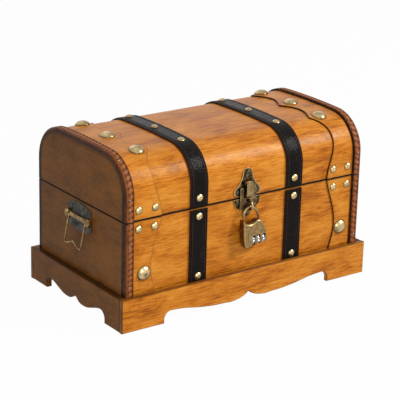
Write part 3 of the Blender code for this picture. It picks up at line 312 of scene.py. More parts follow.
BAIL_DIP = 0.0055
BAIL_END_SUNK = 0.0013
BAIL_DIP_SHARES = ((0.55, 0.22), (0.30, 0.55), (0.12, 0.86), (0.0, 1.0))
BOSS_INNER = BAIL_HALF + BAIL_WIRE + SEAT
SADDLE_HALF = BOSS_INNER + SADDLE_BOSS_WIDTH

# How finely the surfaces are divided
EASING_STEPS = 3
LID_SPACING = 0.0025
LID_OUTLINE_POINTS = 160
PANEL_SPACING = 0.002
STRAP_SPACING = 0.0022
CARVING_SPACING = 0.00065
WIRE_SIDES = 18
NAIL_SIDES = 28
SCREW_SIDES = 24
PIN_SIDES = 12
THREAD_SIDES = 6
DIAL_POINTS = 160
SHARP_ANGLE = math.radians(42)
# An outline that is drawn in: how sharp a corner may count, and how near its inset a point is good
CORNER_LIMIT = 0.6
GOOD_INSET_SHARE = 0.985

# Stains, painted shadow and painted shade in the wood: where each starts and ends, measured from its edge,
# and how strong it is
# Painted shadow in the split between lid and box: black at its core, fading out on either side
SPLIT_CORE = 0.0007
SPLIT_SHADOW = 0.0023
END_SPLIT_SHADOW = 0.0013
# Painted shade near the rim, above and below the split, broken up by blotches
RIM_SHADE = (0.0009, 0.0045)
RIM_SHADE_STRENGTH = 0.3
RIM_STAIN = 0.0022
# Painted shadow on the plinth's ledge, where the box's walls stand on it
LEDGE_SHADOW = (0.0002, 0.0007)
LEDGE_SHADOW_STRENGTH = 0.66
END_STAIN = (0.0016, 0.0062)
END_STAIN_STRENGTHS = (0.94, 0.5)
END_STAIN_FADE_SHARE = 0.6
END_STAIN_WANDER = 0.0006

# Marks on the pieces: how far glaze, wear, painted shade, painted shadow and painted highlight reach, and
# how strong each is
BOARD_EDGE_GLAZE = 0.75
LID_EDGE_GLAZE = 0.8
# Along a moulding's inner side and at its ends: painted shadow, where it meets the panel and the split
MOULDING_INNER_SHADOW = 0.0006
MOULDING_END_SHADOW = 0.0012
MOULDING_OUTER_GLAZE = 0.97
MOULDING_HOLLOW_GLAZE = 0.75
MOULDING_RIDGE_WEAR = 0.55
# A panel's waved edge: dark stain and painted shade on its side wall, then a soft painted shade beside it
PANEL_EDGE_STAIN_AND_SHADOW = 0.0004
PANEL_SHADE = 0.003
PANEL_SHADE_STRENGTH = 0.12
STRAP_EDGE_STAIN = 0.0005
# A painted highlight along a ridge inside each strap's stitching
STRAP_RIDGE_OFFSET = 0.0008
STRAP_RIDGE_HIGHLIGHT = 0.3
# Nail heads: painted shade round the rim and on the side away from the light, patina in the dimple, and a
# painted highlight towards the light
NAIL_RIM_SHARE = 0.72
NAIL_RIM_PAINTED_SHADE = 0.95
NAIL_PAINTED_SHADE_SIDE = (0.5, -0.8)
NAIL_PAINTED_SHADE_STRENGTH = 0.9
# The painted shade and the painted highlight are ramps over how far a point of the head lies away from the
# light
NAIL_PAINTED_SHADE_START = 0.52
NAIL_PAINTED_SHADE_RISE = 0.55
NAIL_PAINTED_HIGHLIGHT_START = -0.2
NAIL_PAINTED_HIGHLIGHT_RISE = 1.6
NAIL_DIMPLE_SHARES = (0.16, 0.06)
NAIL_DIMPLE_GLAZE = 0.7
NAIL_PAINTED_HIGHLIGHT_SHARES = (0.85, 0.55)
PLATE_RIM_WEAR = 0.0011
LUG_WEAR = 0.15
FORK_WEAR = 0.25
BAR_WEAR = 0.48
KNUCKLE_WEAR = 0.3
STAPLE_WEAR = 0.8
SHACKLE_WEAR = 0.5
SHACKLE_WEAR_HEIGHT = 0.012
LOCK_WEAR = 0.8
LOCK_WEAR_SHARES = (0.3, 0.28)
SADDLE_PAINTED_SHADE = (0.35, 0.8)
BAIL_GLAZE = 0.5
PIN_GLAZE = 0.7
LATCH_SCREW_GLAZE = 0.85
HANDLE_SCREW_GLAZE = 0.9

# Noise patterns: waves to the metre, detail, roughness and distortion
CLOUDS = (34.0, 6.0, 0.68, 0.4)
BANDS = (120.0, 4.0, 0.60, 0.7)
FIBRES = (620.0, 5.0, 0.62)
PORES = (900.0, 2.0)
STAIN_BLOTCHES = (75.0, 3.0, 0.6)
DENTS = (160.0, 2.0, 0.5)
RUBBING = (180.0, 3.0, 0.6)
WRINKLES = (190.0, 5.0, 0.65)
SCUFFS = (60.0, 4.0, 0.65)
TWIST = (1800.0, 1.0)
SPECKS = (2500.0, 2.0)
PEBBLE_SCALE = 520.0

# The part of a noise that a material uses, from its start to its end
NOISE_SPAN = (0.3, 0.7)
END_CLOUD_SPAN = (0.4, 0.6)
SCUFF_SPAN = (0.52, 0.75)
PIT_SPAN = (0.58, 0.72)
# The same, with the values that it runs between
STAIN_SPAN = (0.25, 0.6, 0.55, 1.0)
HOLLOW_SPAN = (0.25, 0.6, 0.65, 1.0)
RIDGE_SPAN = (0.35, 0.65, 0.2, 1.0)

# Wood: how much its patterns are drawn out along the grain, what they count for, and its gloss
GRAIN_STRETCH = {"X": (0.09, 1, 1), "Y": (1, 0.2, 1), "surface": (1, 0.09, 1)}
CLOUD_STRETCH = {"X": (0.5, 1, 1), "Y": (1, 0.7, 1), "surface": (1, 0.5, 1)}
TONE_SHARES = (0.42, 0.20, 0.38)
TONE_STOPS = (0.39, 0.485, 0.58)
PORE_SPAN = (0.60, 0.74)
PORE_STRENGTH = 0.5
PORE_DEPTH = 0.8
DENT_DEPTH = 2.5
WOOD_SHEEN = 0.19
END_SHEEN = 0.08
WOOD_ROUGHNESS = (0.28, 0.42)
WOOD_RELIEF = (0.30, 0.0003)
WORN_WOOD_SHARE = 0.5
RAW_GRAIN_SPAN = (0.42, 0.60, 0.32, 0.0)
RAW_CLOUD_SPAN = (0.38, 0.62, 0.45, 0.0)
MOULDING_SHIFT = (0.3, 0.1, 0.0)
MOULDING_SHEEN = 0.15
MOULDING_ROUGHNESS = (0.38, 0.52)
MOULDING_RELIEF = (0.2, 0.0003)

# Leather, thread and paint
SCUFFED_LEATHER = 3.2
SCUFF_STRENGTH = 0.5
LEATHER_SHEEN = 0.055
LEATHER_ROUGHNESS = (0.22, 0.40)
LEATHER_RELIEF = (0.45, 0.0006)
THREAD_SHEEN = 0.3
THREAD_ROUGHNESS = 0.5
THREAD_RELIEF = (0.4, 0.0002)
SPECK_STRENGTH = 0.2
INK_ROUGHNESS = 0.5

# Metal: how far the patina and the roughness vary, and the depth of its relief
PATINA_SPREAD = 0.35
PIT_STRENGTH = 0.3
ROUGHNESS_SPREAD = (-0.06, 0.10)
METAL_RELIEF = 0.0002
# Each metal's two colours, roughness, patina, blotches to the metre and unevenness
METALS = {
    "antique_brass": ("brass_light", "brass_dark", 0.28, 0.50, 120.0, 0.03),
    "dark_bronze": ("bronze_light", "bronze_dark", 0.36, 0.94, 150.0, 0.08),
    "grey_bronze": ("grey_light", "grey_dark", 0.40, 0.80, 220.0, 0.12),
    "lock_bronze": ("lock_light", "lock_dark", 0.34, 0.78, 220.0, 0.12),
    "bright_brass": ("lock_light", "lock_dark", 0.32, 0.75, 220.0, 0.12),
    # The dials' dark colour also paints the shade on the wheels' side faces
    "dial_chrome": ("chrome", "ink", 0.18, 0.0, 220.0, 0.03),
    "steel_pin": ("steel", "bronze_dark", 0.32, 0.3, 220.0, 0.12),
}
# Where each board's grain starts, so that no two boards look alike
HONEY_WOODS = {
    "honey_wood": (0.0, 0.0, 0.0),
    "lid_wood": (0.31, 0.07, 0.19),
    "panel_wood": (0.83, 0.41, 0.27),
    "plinth_wood": (0.57, 0.13, 0.71),
}
END_WOODS = {
    "end_wood": ((0.11, 0.23, 0.05), END_SPLIT_SHADOW),
    "plinth_end_wood": ((0.37, 0.53, 0.17), SPLIT_SHADOW),
}

# Camera and light
CAMERA_AZIMUTH = math.radians(-36.10)
CAMERA_ELEVATION = math.radians(19.335)
CAMERA_ROLL = math.radians(1.49)
CAMERA_DISTANCE = 2.1207
CAMERA_RANGE = 100.0
CAMERA_TARGET = (-0.0006, MIDDLE_Y, 0.1037)
CAMERA_LENS = 147.79
SENSOR = 36.0
# Each lamp's direction from the chest, distance, size and watts
KEY_LAMP = ((0.58, -0.55, 0.60), 2.4, 0.5, 44.5)
FILL_LAMP = ((-0.48, -0.82, 0.32), 0.92, 0.45, 2.2)
WORLD_LIGHT = 0.40
FLOOR_SIZE = 12.0
FLOOR_TONE = 0.60
FLOOR_WHITE = 0.975


def length(name, default, description):
    """A size in metres that the sidebar shows."""
    return FloatProperty(
        name=name, description=description, default=default, min=0.0, unit="LENGTH", precision=5
    )


def colour(name, default, description):
    """A colour that the sidebar shows."""
    return FloatVectorProperty(
        name=name, description=description, default=default, min=0.0, max=1.0, size=3, subtype="COLOR"
    )


class ChestSizes(bpy.types.PropertyGroup):
    """Sizes of the chest's surface detail"""

    board_easing: length("Board easing", 0.0011, "Radius of the rounded edges of the plinth's boards")
    panel_easing: length("Panel easing", 0.0005, "Radius of the edges of the thin panels and the lid")
    metal_easing: length("Metal easing", 0.00035, "Radius of the edges of the plates")
    carving_pitch: length("Carving pitch", 0.0072, "Distance from one gouge of a moulding to the next")
    carving_depth: length("Carving depth", 0.0011, "Depth of the gouges in the mouldings")
    crease_depth: length("Crease depth", 0.0004, "Depth of the creased lines along the straps")
    crease_inset: length("Crease inset", 0.0019, "Distance of the outer crease from a strap's edge")
    seam_inset: length("Seam inset", 0.0034, "Distance of the stitching from a strap's edge")
    stitch_pitch: length("Stitch pitch", 0.0042, "Distance from one stitch to the next")
    stitch_length: length("Stitch length", 0.0030, "Length of one stitch")
    stitch_radius: length("Stitch radius", 0.00038, "Radius of the thread")
    screw_radius: length("Screw radius", 0.0021, "Radius of the screw heads")
    screw_height: length("Screw height", 0.0009, "Height of the screw heads")
    screw_slot: length("Screw slot", 0.0006, "Width of the slot in a screw head")
    pin_radius: length("Pin radius", 0.0008, "Radius of the small pins in the mouldings and plinth")
    figure_height: length("Figure height", 0.0026, "Height of the figures on the padlock's dials")


class ChestColours(bpy.types.PropertyGroup):
    """Colours of the chest's finishes"""

    wood_light: colour("Light wood", (0.64, 0.247, 0.029), "Lightest tone of the stained wood")
    wood_middle: colour("Middle wood", (0.50, 0.155, 0.010), "Usual tone of the stained wood")
    wood_dark: colour("Dark wood", (0.25, 0.060, 0.004), "Darkest tone of the stained wood")
    end_light: colour("Light end wood", (0.25, 0.091, 0.0148), "Lightest tone of the end boards")
    end_dark: colour("Dark end wood", (0.12, 0.042, 0.0068), "Darkest tone of the end boards")
    moulding_light: colour("Light moulding", (0.27, 0.075, 0.014), "Worn tone of the mouldings")
    moulding_dark: colour("Dark moulding", (0.10, 0.025, 0.005), "Deep tone of the mouldings")
    moulding_worn: colour("Worn moulding", (0.42, 0.16, 0.06), "Rubbed ridges of the mouldings")
    varnish: colour("Varnish", (1.0, 0.86, 0.55), "Tint of the varnish in the wood's gloss")
    # The glaze colour is also the painted shadow in the split, on the plinth's ledge and along the
    # mouldings, and the painted shade near the rim and beside the panels' edges
    glaze: colour("Glaze", (0.012, 0.005, 0.003), "Dark stain that gathers at edges and in hollows")
    raw_wood: colour("Raw wood", (0.55, 0.34, 0.17), "Unstained wood inside the chest")
    leather: colour("Leather", (0.0065, 0.0052, 0.0042), "The straps' leather")
    # The leather's edge colour also paints a highlight along each strap's ridge
    leather_edge: colour("Leather edge", (0.045, 0.014, 0.008), "Cut edge of the straps")
    thread: colour("Thread", (0.004, 0.0035, 0.003), "Stitching of the straps")
    # On the nail heads the light brass also makes the painted highlight, and the dark brass the painted
    # shade
    brass_light: colour("Light brass", (0.88, 0.67, 0.35), "Polished tone of the nail heads")
    brass_dark: colour("Dark brass", (0.11, 0.066, 0.024), "Tarnish on the nail heads")
    bronze_light: colour("Light bronze", (0.52, 0.36, 0.165), "Worn edges of the latch and plates")
    bronze_dark: colour("Dark bronze", (0.040, 0.023, 0.010), "Patina of the latch and plates")
    grey_light: colour("Light grey bronze", (0.12, 0.11, 0.09), "Worn edges of the handle plates")
    grey_dark: colour("Dark grey bronze", (0.022, 0.020, 0.017), "Patina of the handle plates")
    lock_light: colour("Light lock metal", (0.50, 0.35, 0.155), "Worn edges of the padlock")
    lock_dark: colour("Dark lock metal", (0.15, 0.080, 0.025), "Patina of the padlock")
    chrome: colour("Chrome", (0.45, 0.46, 0.48), "The padlock's dials")
    steel: colour("Steel", (0.40, 0.39, 0.37), "Pins and spindle")
    ink: colour("Figures", (0.012, 0.012, 0.014), "Paint in the dials' figures")


def finish_named(name):
    """The chest's own material of that name, which is made if there is none yet."""
    full_name = "chest_" + name
    return bpy.data.materials.get(full_name) or bpy.data.materials.new(full_name)


class Graph:
    """Builds a material's nodes afresh. Each method that makes a node returns its output socket."""

    def __init__(self, name):
        material = finish_named(name)
        material.use_nodes = True
        self.tree = material.node_tree
        self.tree.nodes.clear()
        self.shader = self.tree.nodes.new("ShaderNodeBsdfPrincipled")
        output = self.tree.nodes.new("ShaderNodeOutputMaterial")
        self.tree.links.new(self.shader.outputs["BSDF"], output.inputs["Surface"])

    def feed(self, socket, value):
        if isinstance(value, bpy.types.NodeSocket):
            self.tree.links.new(value, socket)
        elif hasattr(value, "__len__") and len(socket.default_value) > len(value):
            socket.default_value = (*value, 1.0)
        else:
            socket.default_value = value

    def node(self, kind, inputs, **settings):
        made = self.tree.nodes.new(kind)
        for key, value in settings.items():
            setattr(made, key, value)
        for key, value in inputs.items():
            self.feed(made.inputs[key], value)
        return made

    def mapped(self, where, scale, shift):
        inputs = {"Vector": where, "Location": shift, "Scale": scale}
        return self.node("ShaderNodeMapping", inputs).outputs["Vector"]

    def object_place(self, scale=(1, 1, 1), shift=(0, 0, 0)):
        where = self.node("ShaderNodeTexCoord", {}).outputs["Object"]
        return self.mapped(where, scale, shift)

    def surface_place(self, scale=(1, 1, 1), shift=(0, 0, 0)):
        where = self.node("ShaderNodeUVMap", {}, uv_map="surface").outputs["UV"]
        return self.mapped(where, scale, shift)

    def mark(self, name):
        return self.node("ShaderNodeAttribute", {}, attribute_name=name).outputs["Fac"]

    def noise(self, place, scale, detail=3.0, roughness=0.5, distortion=0.0):
        inputs = {
            "Vector": place,
            "Scale": scale,
            "Detail": detail,
            "Roughness": roughness,
            "Distortion": distortion,
        }
        return self.node("ShaderNodeTexNoise", inputs).outputs["Fac"]

    def cells(self, place, scale):
        inputs = {"Vector": place, "Scale": scale}
        return self.node("ShaderNodeTexVoronoi", inputs).outputs["Distance"]

    def ramp(self, value, stops):
        made = self.node("ShaderNodeValToRGB", {"Fac": value})
        elements = made.color_ramp.elements
        while len(elements) < len(stops):
            elements.new(0.5)
        for element, (place, tone) in zip(elements, stops):
            element.position = place
            element.color = (*tone, 1.0)
        return made.outputs["Color"]

    def span(self, value, start, end, low=0.0, high=1.0):
        inputs = {"Value": value, "From Min": start, "From Max": end, "To Min": low, "To Max": high}
        made = self.node("ShaderNodeMapRange", inputs, interpolation_type="SMOOTHSTEP")
        return made.outputs["Result"]

    def math(self, operation, first, *others):
        """The operation on the first value and each of the others in turn."""
        for other in others or (0.0,):
            first = self.node("ShaderNodeMath", {0: first, 1: other}, operation=operation).outputs["Value"]
        return first

    def away(self, value, middle=0.0):
        """How far a value lies from the middle, to either side."""
        return self.math("ABSOLUTE", self.math("SUBTRACT", value, middle))

    def mix(self, factor, first, second):
        made = self.node("ShaderNodeMixRGB", {})
        self.feed(made.inputs["Fac"], factor)
        self.feed(made.inputs["Color1"], first)
        self.feed(made.inputs["Color2"], second)
        return made.outputs["Color"]

    def bump(self, height, strength, distance):
        inputs = {"Height": height, "Strength": strength, "Distance": distance}
        self.feed(self.shader.inputs["Normal"], self.node("ShaderNodeBump", inputs).outputs["Normal"])

    def set(self, **inputs):
        names = {
            "colour": "Base Color",
            "roughness": "Roughness",
            "metallic": "Metallic",
            "specular": "Specular IOR Level",
            "tint": "Specular Tint",
        }
        for key, value in inputs.items():
            self.feed(self.shader.inputs[names[key]], value)


def wood_tone(graph, along, shift, tones):
    """Stained wood: broad clouds, long bands and fine fibres are added to one tone, and short dark
    pores are laid over it. Returns the colour, the clouds, the fibres and the pores."""
    place = graph.surface_place if along == "surface" else graph.object_place
    fine = place(GRAIN_STRETCH[along], shift)
    clouds = graph.noise(place(CLOUD_STRETCH[along], shift), *CLOUDS)
    bands = graph.noise(fine, *BANDS)
    fibres = graph.noise(fine, *FIBRES)
    pores = graph.span(graph.noise(fine, *PORES), *PORE_SPAN)
    patterns = zip((clouds, bands, fibres), TONE_SHARES)
    tone = graph.math("ADD", *[graph.math("MULTIPLY", pattern, part) for pattern, part in patterns])
    shade = graph.ramp(tone, tuple(zip(TONE_STOPS, tones)))
    shade = graph.mix(graph.math("MULTIPLY", pores, PORE_STRENGTH), shade, tones[0])
    return shade, clouds, fibres, pores


def end_stain(graph, axes, blotches):
    """Dark stain on the end faces along their outline. The distance to the outline is the corner's
    radius less the way from the corner's centre, taken only where y and z lie beyond it."""
    beyond_y = graph.math("SUBTRACT", graph.away(axes["Y"], MIDDLE_Y), CORNER_CENTRE)
    beyond_z = graph.math("SUBTRACT", axes["Z"], SHOULDER)
    squares = [graph.math("POWER", graph.math("MAXIMUM", way, 0.0), 2.0) for way in (beyond_y, beyond_z)]
    inset = graph.math("SUBTRACT", LID_CORNER_RADIUS, graph.math("SQRT", graph.math("ADD", *squares)))
    inset = graph.math("ADD", inset, graph.span(blotches, *NOISE_SPAN, -END_STAIN_WANDER, END_STAIN_WANDER))
    outer = graph.span(graph.away(axes["X"]), HALF_LENGTH - 2 * SEAT, HALF_LENGTH - SEAT)
    above = graph.math("GREATER_THAN", axes["Z"], PLINTH_TOP)
    top = SHOULDER + LID_CORNER_RADIUS * END_STAIN_FADE_SHARE
    strength = graph.span(axes["Z"], SHOULDER, top, *END_STAIN_STRENGTHS)
    return graph.math("MULTIPLY", outer, above, strength, graph.span(inset, *END_STAIN, 1.0, 0.0))


def stained_places(graph, axes, split_shadow):
    """Where dark stain and painted shade lie, from 0 to 1: the most of the painted shadow in the split, the
    blotchy painted shade near the rim, the stain round the end faces, the painted shadow on the plinth's
    ledge and where a piece marks glaze."""
    from_rim = graph.away(axes["Z"], RIM)
    blotches = graph.noise(graph.object_place(), *STAIN_BLOTCHES)
    painted_rim_shade = graph.span(from_rim, *RIM_SHADE, RIM_SHADE_STRENGTH, 0.0)
    return graph.math(
        "MAXIMUM",
        graph.math("MULTIPLY", painted_rim_shade, graph.span(blotches, *STAIN_SPAN)),
        graph.span(from_rim, SPLIT_CORE, split_shadow, 1.0, 0.0),
        end_stain(graph, axes, blotches),
        graph.span(graph.away(axes["Z"], PLINTH_TOP), *LEDGE_SHADOW, LEDGE_SHADOW_STRENGTH, 0.0),
        graph.mark("glaze"),
    )


def wood_finish(name, along, shift, tones, colours, sheen, split_shadow):
    """Wood under varnish, stained dark in places, with painted shadow in the split and on the plinth's ledge
    and painted shade near the rim, with darker wood where the plinth's long boards show their ends, and
    unstained wood inside the chest."""
    graph = Graph(name)
    shade, clouds, fibres, pores = wood_tone(graph, along, shift, tones)
    axes = graph.node("ShaderNodeSeparateXYZ", {"Vector": graph.object_place()}).outputs
    from_middle = graph.away(axes["Y"], MIDDLE_Y)
    from_centre = graph.away(axes["X"])
    end_grain = graph.math(
        "MULTIPLY",
        graph.math("GREATER_THAN", from_centre, PLINTH_HALF_LENGTH - SEAT),
        graph.math("GREATER_THAN", from_middle, PLINTH_INNER - SEAT),
    )
    end_shade = graph.mix(graph.span(clouds, *END_CLOUD_SPAN), colours.end_dark, colours.end_light)
    shade = graph.mix(end_grain, shade, end_shade)
    # The glaze colour goes over the stains and over the painted shadow and shade
    shade = graph.mix(stained_places(graph, axes, split_shadow), shade, colours.glaze)
    worn = graph.mix(WORN_WOOD_SHARE, colours.wood_light, colours.raw_wood)
    shade = graph.mix(graph.mark("wear"), shade, worn)
    inside = graph.math(
        "MULTIPLY",
        graph.math("LESS_THAN", from_middle, HALF_DEPTH - RIM_STAIN),
        graph.math("LESS_THAN", from_centre, HALF_LENGTH - RIM_STAIN),
        graph.math("LESS_THAN", axes["Z"], LID_UNDERSIDE + SEAT),
    )
    raw = graph.mix(graph.span(fibres, *RAW_GRAIN_SPAN), colours.raw_wood, colours.wood_middle)
    raw = graph.mix(graph.span(clouds, *RAW_CLOUD_SPAN), raw, colours.wood_light)
    shade = graph.mix(graph.math("MAXIMUM", inside, graph.mark("raw")), shade, raw)
    rough = graph.span(fibres, *NOISE_SPAN, *WOOD_ROUGHNESS)
    graph.set(colour=shade, roughness=rough, specular=sheen, tint=colours.varnish)
    height = graph.math("SUBTRACT", fibres, graph.math("MULTIPLY", pores, PORE_DEPTH))
    dents = graph.noise(graph.object_place(), *DENTS)
    graph.bump(graph.math("ADD", height, graph.math("MULTIPLY", dents, DENT_DEPTH)), *WOOD_RELIEF)


def moulding_finish(name, colours):
    """Reddish wood rubbed with glaze: dark where the carving is deep, pale on its ridges."""
    graph = Graph(name)
    tones = (colours.moulding_dark, colours.moulding_light, colours.moulding_light)
    shade, _, fibres, _ = wood_tone(graph, "surface", MOULDING_SHIFT, tones)
    rubbed = graph.noise(graph.object_place(), *RUBBING)
    # The glaze mark also carries the painted shadow along each moulding's inner side and at its ends
    deep = graph.math("MULTIPLY", graph.mark("glaze"), graph.span(rubbed, *HOLLOW_SPAN))
    shade = graph.mix(deep, shade, colours.glaze)
    worn = graph.math("MULTIPLY", graph.mark("wear"), graph.span(rubbed, *RIDGE_SPAN))
    shade = graph.mix(worn, shade, colours.moulding_worn)
    rough = graph.span(rubbed, *NOISE_SPAN, *MOULDING_ROUGHNESS)
    graph.set(colour=shade, roughness=rough, specular=MOULDING_SHEEN)
    graph.bump(fibres, *MOULDING_RELIEF)


def leather_finish(name, colours):
    """Black hide with a fine pebbled grain, scuffed a little, with a brown cut edge."""
    graph = Graph(name)
    place = graph.object_place()
    pebbles = graph.cells(place, PEBBLE_SCALE)
    wrinkles = graph.noise(place, *WRINKLES)
    scuffs = graph.span(graph.noise(place, *SCUFFS), *SCUFF_SPAN)
    grey = [value * SCUFFED_LEATHER for value in colours.leather]
    shade = graph.mix(graph.math("MULTIPLY", scuffs, SCUFF_STRENGTH), colours.leather, grey)
    shade = graph.mix(graph.mark("edge"), shade, colours.leather_edge)
    rough = graph.span(scuffs, 0.0, 1.0, *LEATHER_ROUGHNESS)
    graph.set(colour=shade, roughness=rough, specular=LEATHER_SHEEN)
    graph.bump(graph.math("ADD", pebbles, graph.math("MULTIPLY", wrinkles, 2.0)), *LEATHER_RELIEF)


def thread_finish(name, colours):
    """Waxed black thread, ribbed across by its twist."""
    graph = Graph(name)
    twist = graph.noise(graph.object_place(), *TWIST)
    shade = graph.mix(graph.span(twist, *NOISE_SPAN), colours.thread, colours.leather_edge)
    graph.set(colour=shade, roughness=THREAD_ROUGHNESS, specular=THREAD_SHEEN)
    graph.bump(twist, *THREAD_RELIEF)


def metal_finish(name, light, dark, roughness, patina, scale, unevenness):
    """Cast metal: patina in soft blotches with small pits, rubbed bright where a piece marks wear and dark
    where it marks glaze.
    On the nail heads the glaze mark is mostly painted shade and the wear mark a painted highlight; on the
    saddles and the dials' wheels the glaze mark is painted shade."""
    graph = Graph(name)
    place = graph.object_place()
    blotches = graph.noise(place, scale, 4.0, 0.6)
    pits = graph.span(graph.noise(place, scale * 4, 2.0), *PIT_SPAN)
    tarnish_and_painted_shade = graph.span(blotches, *NOISE_SPAN, patina - PATINA_SPREAD, patina + PATINA_SPREAD)
    tarnish_and_painted_shade = graph.math("MAXIMUM", tarnish_and_painted_shade, graph.mark("glaze"))
    tarnish_and_painted_shade = graph.math("MULTIPLY", tarnish_and_painted_shade, graph.math("SUBTRACT", 1.0, graph.mark("wear")))
    shade = graph.mix(tarnish_and_painted_shade, light, dark)
    shade = graph.mix(graph.math("MULTIPLY", pits, PIT_STRENGTH), shade, dark)
    rough = graph.span(blotches, *NOISE_SPAN, *[roughness + spread for spread in ROUGHNESS_SPREAD])
    graph.set(colour=shade, roughness=rough, metallic=1.0)
    graph.bump(graph.math("SUBTRACT", blotches, pits), unevenness, METAL_RELIEF)


def make_finishes(colours):
    """Every material of the chest."""
    honey = (colours.wood_dark, colours.wood_middle, colours.wood_light)
    for name, shift in HONEY_WOODS.items():
        wood_finish(name, "X", shift, honey, colours, WOOD_SHEEN, SPLIT_SHADOW)
    end_middle = [(dark + light) / 2 for dark, light in zip(colours.end_dark, colours.end_light)]
    end = (colours.end_dark, end_middle, colours.end_light)
    for name, (shift, split_shadow) in END_WOODS.items():
        wood_finish(name, "Y", shift, end, colours, END_SHEEN, split_shadow)
    moulding_finish("moulding_wood", colours)
    leather_finish("black_leather", colours)
    thread_finish("thread", colours)
    for name, (light, dark, *values) in METALS.items():
        metal_finish(name, getattr(colours, light), getattr(colours, dark), *values)
    graph = Graph("figure_ink")
    speck = graph.math("MULTIPLY", graph.noise(graph.object_place(), *SPECKS), SPECK_STRENGTH)
    graph.set(colour=graph.mix(speck, colours.ink, colours.steel), roughness=INK_ROUGHNESS)


def outward(mesh):
    """Turns every face of a closed mesh outwards."""
    work = bmesh.new()
    work.from_mesh(mesh)
    bmesh.ops.recalc_face_normals(work, faces=work.faces)
    work.to_mesh(mesh)
    work.free()


def placed(name, data):
    """A new object of that name, linked into the scene."""
    obj = bpy.data.objects.new(name, data)
    bpy.context.scene.collection.objects.link(obj)
    return obj


def mesh_of(name, shape, shift=(0, 0, 0)):
    """A new mesh from a shape's points, moved by the shift, and its faces."""
    points, faces = shape
    mesh = bpy.data.meshes.new(name)
    mesh.from_pydata((points + shift).tolist(), [], faces)
    return mesh


def hang(name, mesh, body, finish):
    """Puts a mesh into the scene with its finish, and lets it ride on a body."""
    mesh.materials.append(finish_named(finish))
    obj = placed(name, mesh)
    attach(obj, body)
    return obj


def add_piece(name, body, finish, shape, replaces=(), surface=None, **marks):
    """Makes an object from points and faces in the chest's coordinates, and hangs it on a body.

    `surface` gives a place on the face for each point, in metres, and each mark a number."""
    mesh = mesh_of(name, shape, (0, MIDDLE_Y, 0))
    outward(mesh)
    mesh.shade_smooth()
    mesh.set_sharp_from_angle(angle=SHARP_ANGLE)
    if surface is not None:
        corners = np.empty(len(mesh.loops), int)
        mesh.loops.foreach_get("vertex_index", corners)
        mesh.uv_layers.new(name="surface").data.foreach_set("uv", surface[corners].ravel())
    for mark, values in marks.items():
        attribute = mesh.attributes.new(mark, "FLOAT", "POINT")
        attribute.data.foreach_set("value", np.asarray(values, np.float32).ravel())
    obj = hang(name, mesh, body, finish)
    if replaces:
        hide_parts(*replaces)


def add_sheet(name, body, finish, shape):
    """An open surface, whose faces keep the way they were made."""
    hang(name, mesh_of(name, shape, (0, MIDDLE_Y, 0)), body, finish)


def dress(finish, *nodes):
    """Gives carried-over CAD nodes a finish."""
    for name in nodes:
        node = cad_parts[name]
        node.data.materials.clear()
        node.data.materials.append(finish_named(finish))


def ringed(rings):
    """A closed skin from a grid whose rows are rings: a quad joins each pair of neighbours to the
    pair in the next ring, and one flat face closes the first ring and one the last."""
    rows, columns = rings.shape[:2]
    row = np.arange(rows - 1)[:, None] * columns
    here = np.arange(columns)[None, :]
    beside = (here + 1) % columns
    quads = np.stack([row + here, row + beside, row + columns + beside, row + columns + here], axis=-1)
    last = (rows - 1) * columns
    caps = [list(range(columns)), list(range(last, last + columns))]
    return rings.reshape(-1, 3), quads.reshape(-1, 4).tolist() + caps


def joined(shapes):
    """Several shapes as one: each one's faces are counted on from the points before it."""
    points = []
    faces = []
    start = 0
    for part, part_faces in shapes:
        points.append(part)
        faces += [[start + index for index in face] for face in part_faces]
        start += len(part)
    return np.concatenate(points), faces


def repeated(shape, origins, axes):
    """Copies of a shape: each point's three local coordinates run along a copy's three axes."""
    points, faces = shape
    origins = np.asarray(origins, float)
    moved = origins[:, None, :] + np.einsum("pk,nkd->npd", points, np.asarray(axes, float))
    starts = np.arange(len(origins)) * len(points)
    copies = [[start + index for index in face] for start in starts.tolist() for face in faces]
    return moved.reshape(-1, 3), copies


def catmull(points, steps, closed=False):
    """A smooth curve through points by Catmull and Rom's rule: between two of them, each of the
    four around counts by a cubic of the share of the way."""
    points = np.asarray(points, float)
    ends = (points[-1:], points[:2]) if closed else (points[:1], points[-1:])
    padded = np.vstack([ends[0], points, ends[1]])
    way = (np.arange(steps) / steps)[None, :, None]
    count = len(padded) - 3
    first, second, third, fourth = (padded[k : k + count, None, :] for k in range(4))
    curve = first * (-way + 2 * way**2 - way**3) + second * (2 - 5 * way**2 + 3 * way**3)
    curve = (curve + third * (way + 4 * way**2 - 3 * way**3) + fourth * (way**3 - way**2)) / 2
    curve = curve.reshape(-1, points.shape[1])
    return curve if closed else np.vstack([curve, points[-1:]])


def arc(centre, radius, start, end, steps):
    """Points (n, 2) on a circle or, with a pair of radii, on an ellipse."""
    angles = np.linspace(start, end, steps + 1)
    return np.asarray(centre) + np.stack([np.cos(angles), np.sin(angles)], axis=1) * radius


def mirrored(half):
    """A half outline that starts and ends on the middle line, closed with its mirror image."""
    half = np.asarray(half, float)
    return np.vstack([half, half[-2:0:-1] * (-1, 1)])


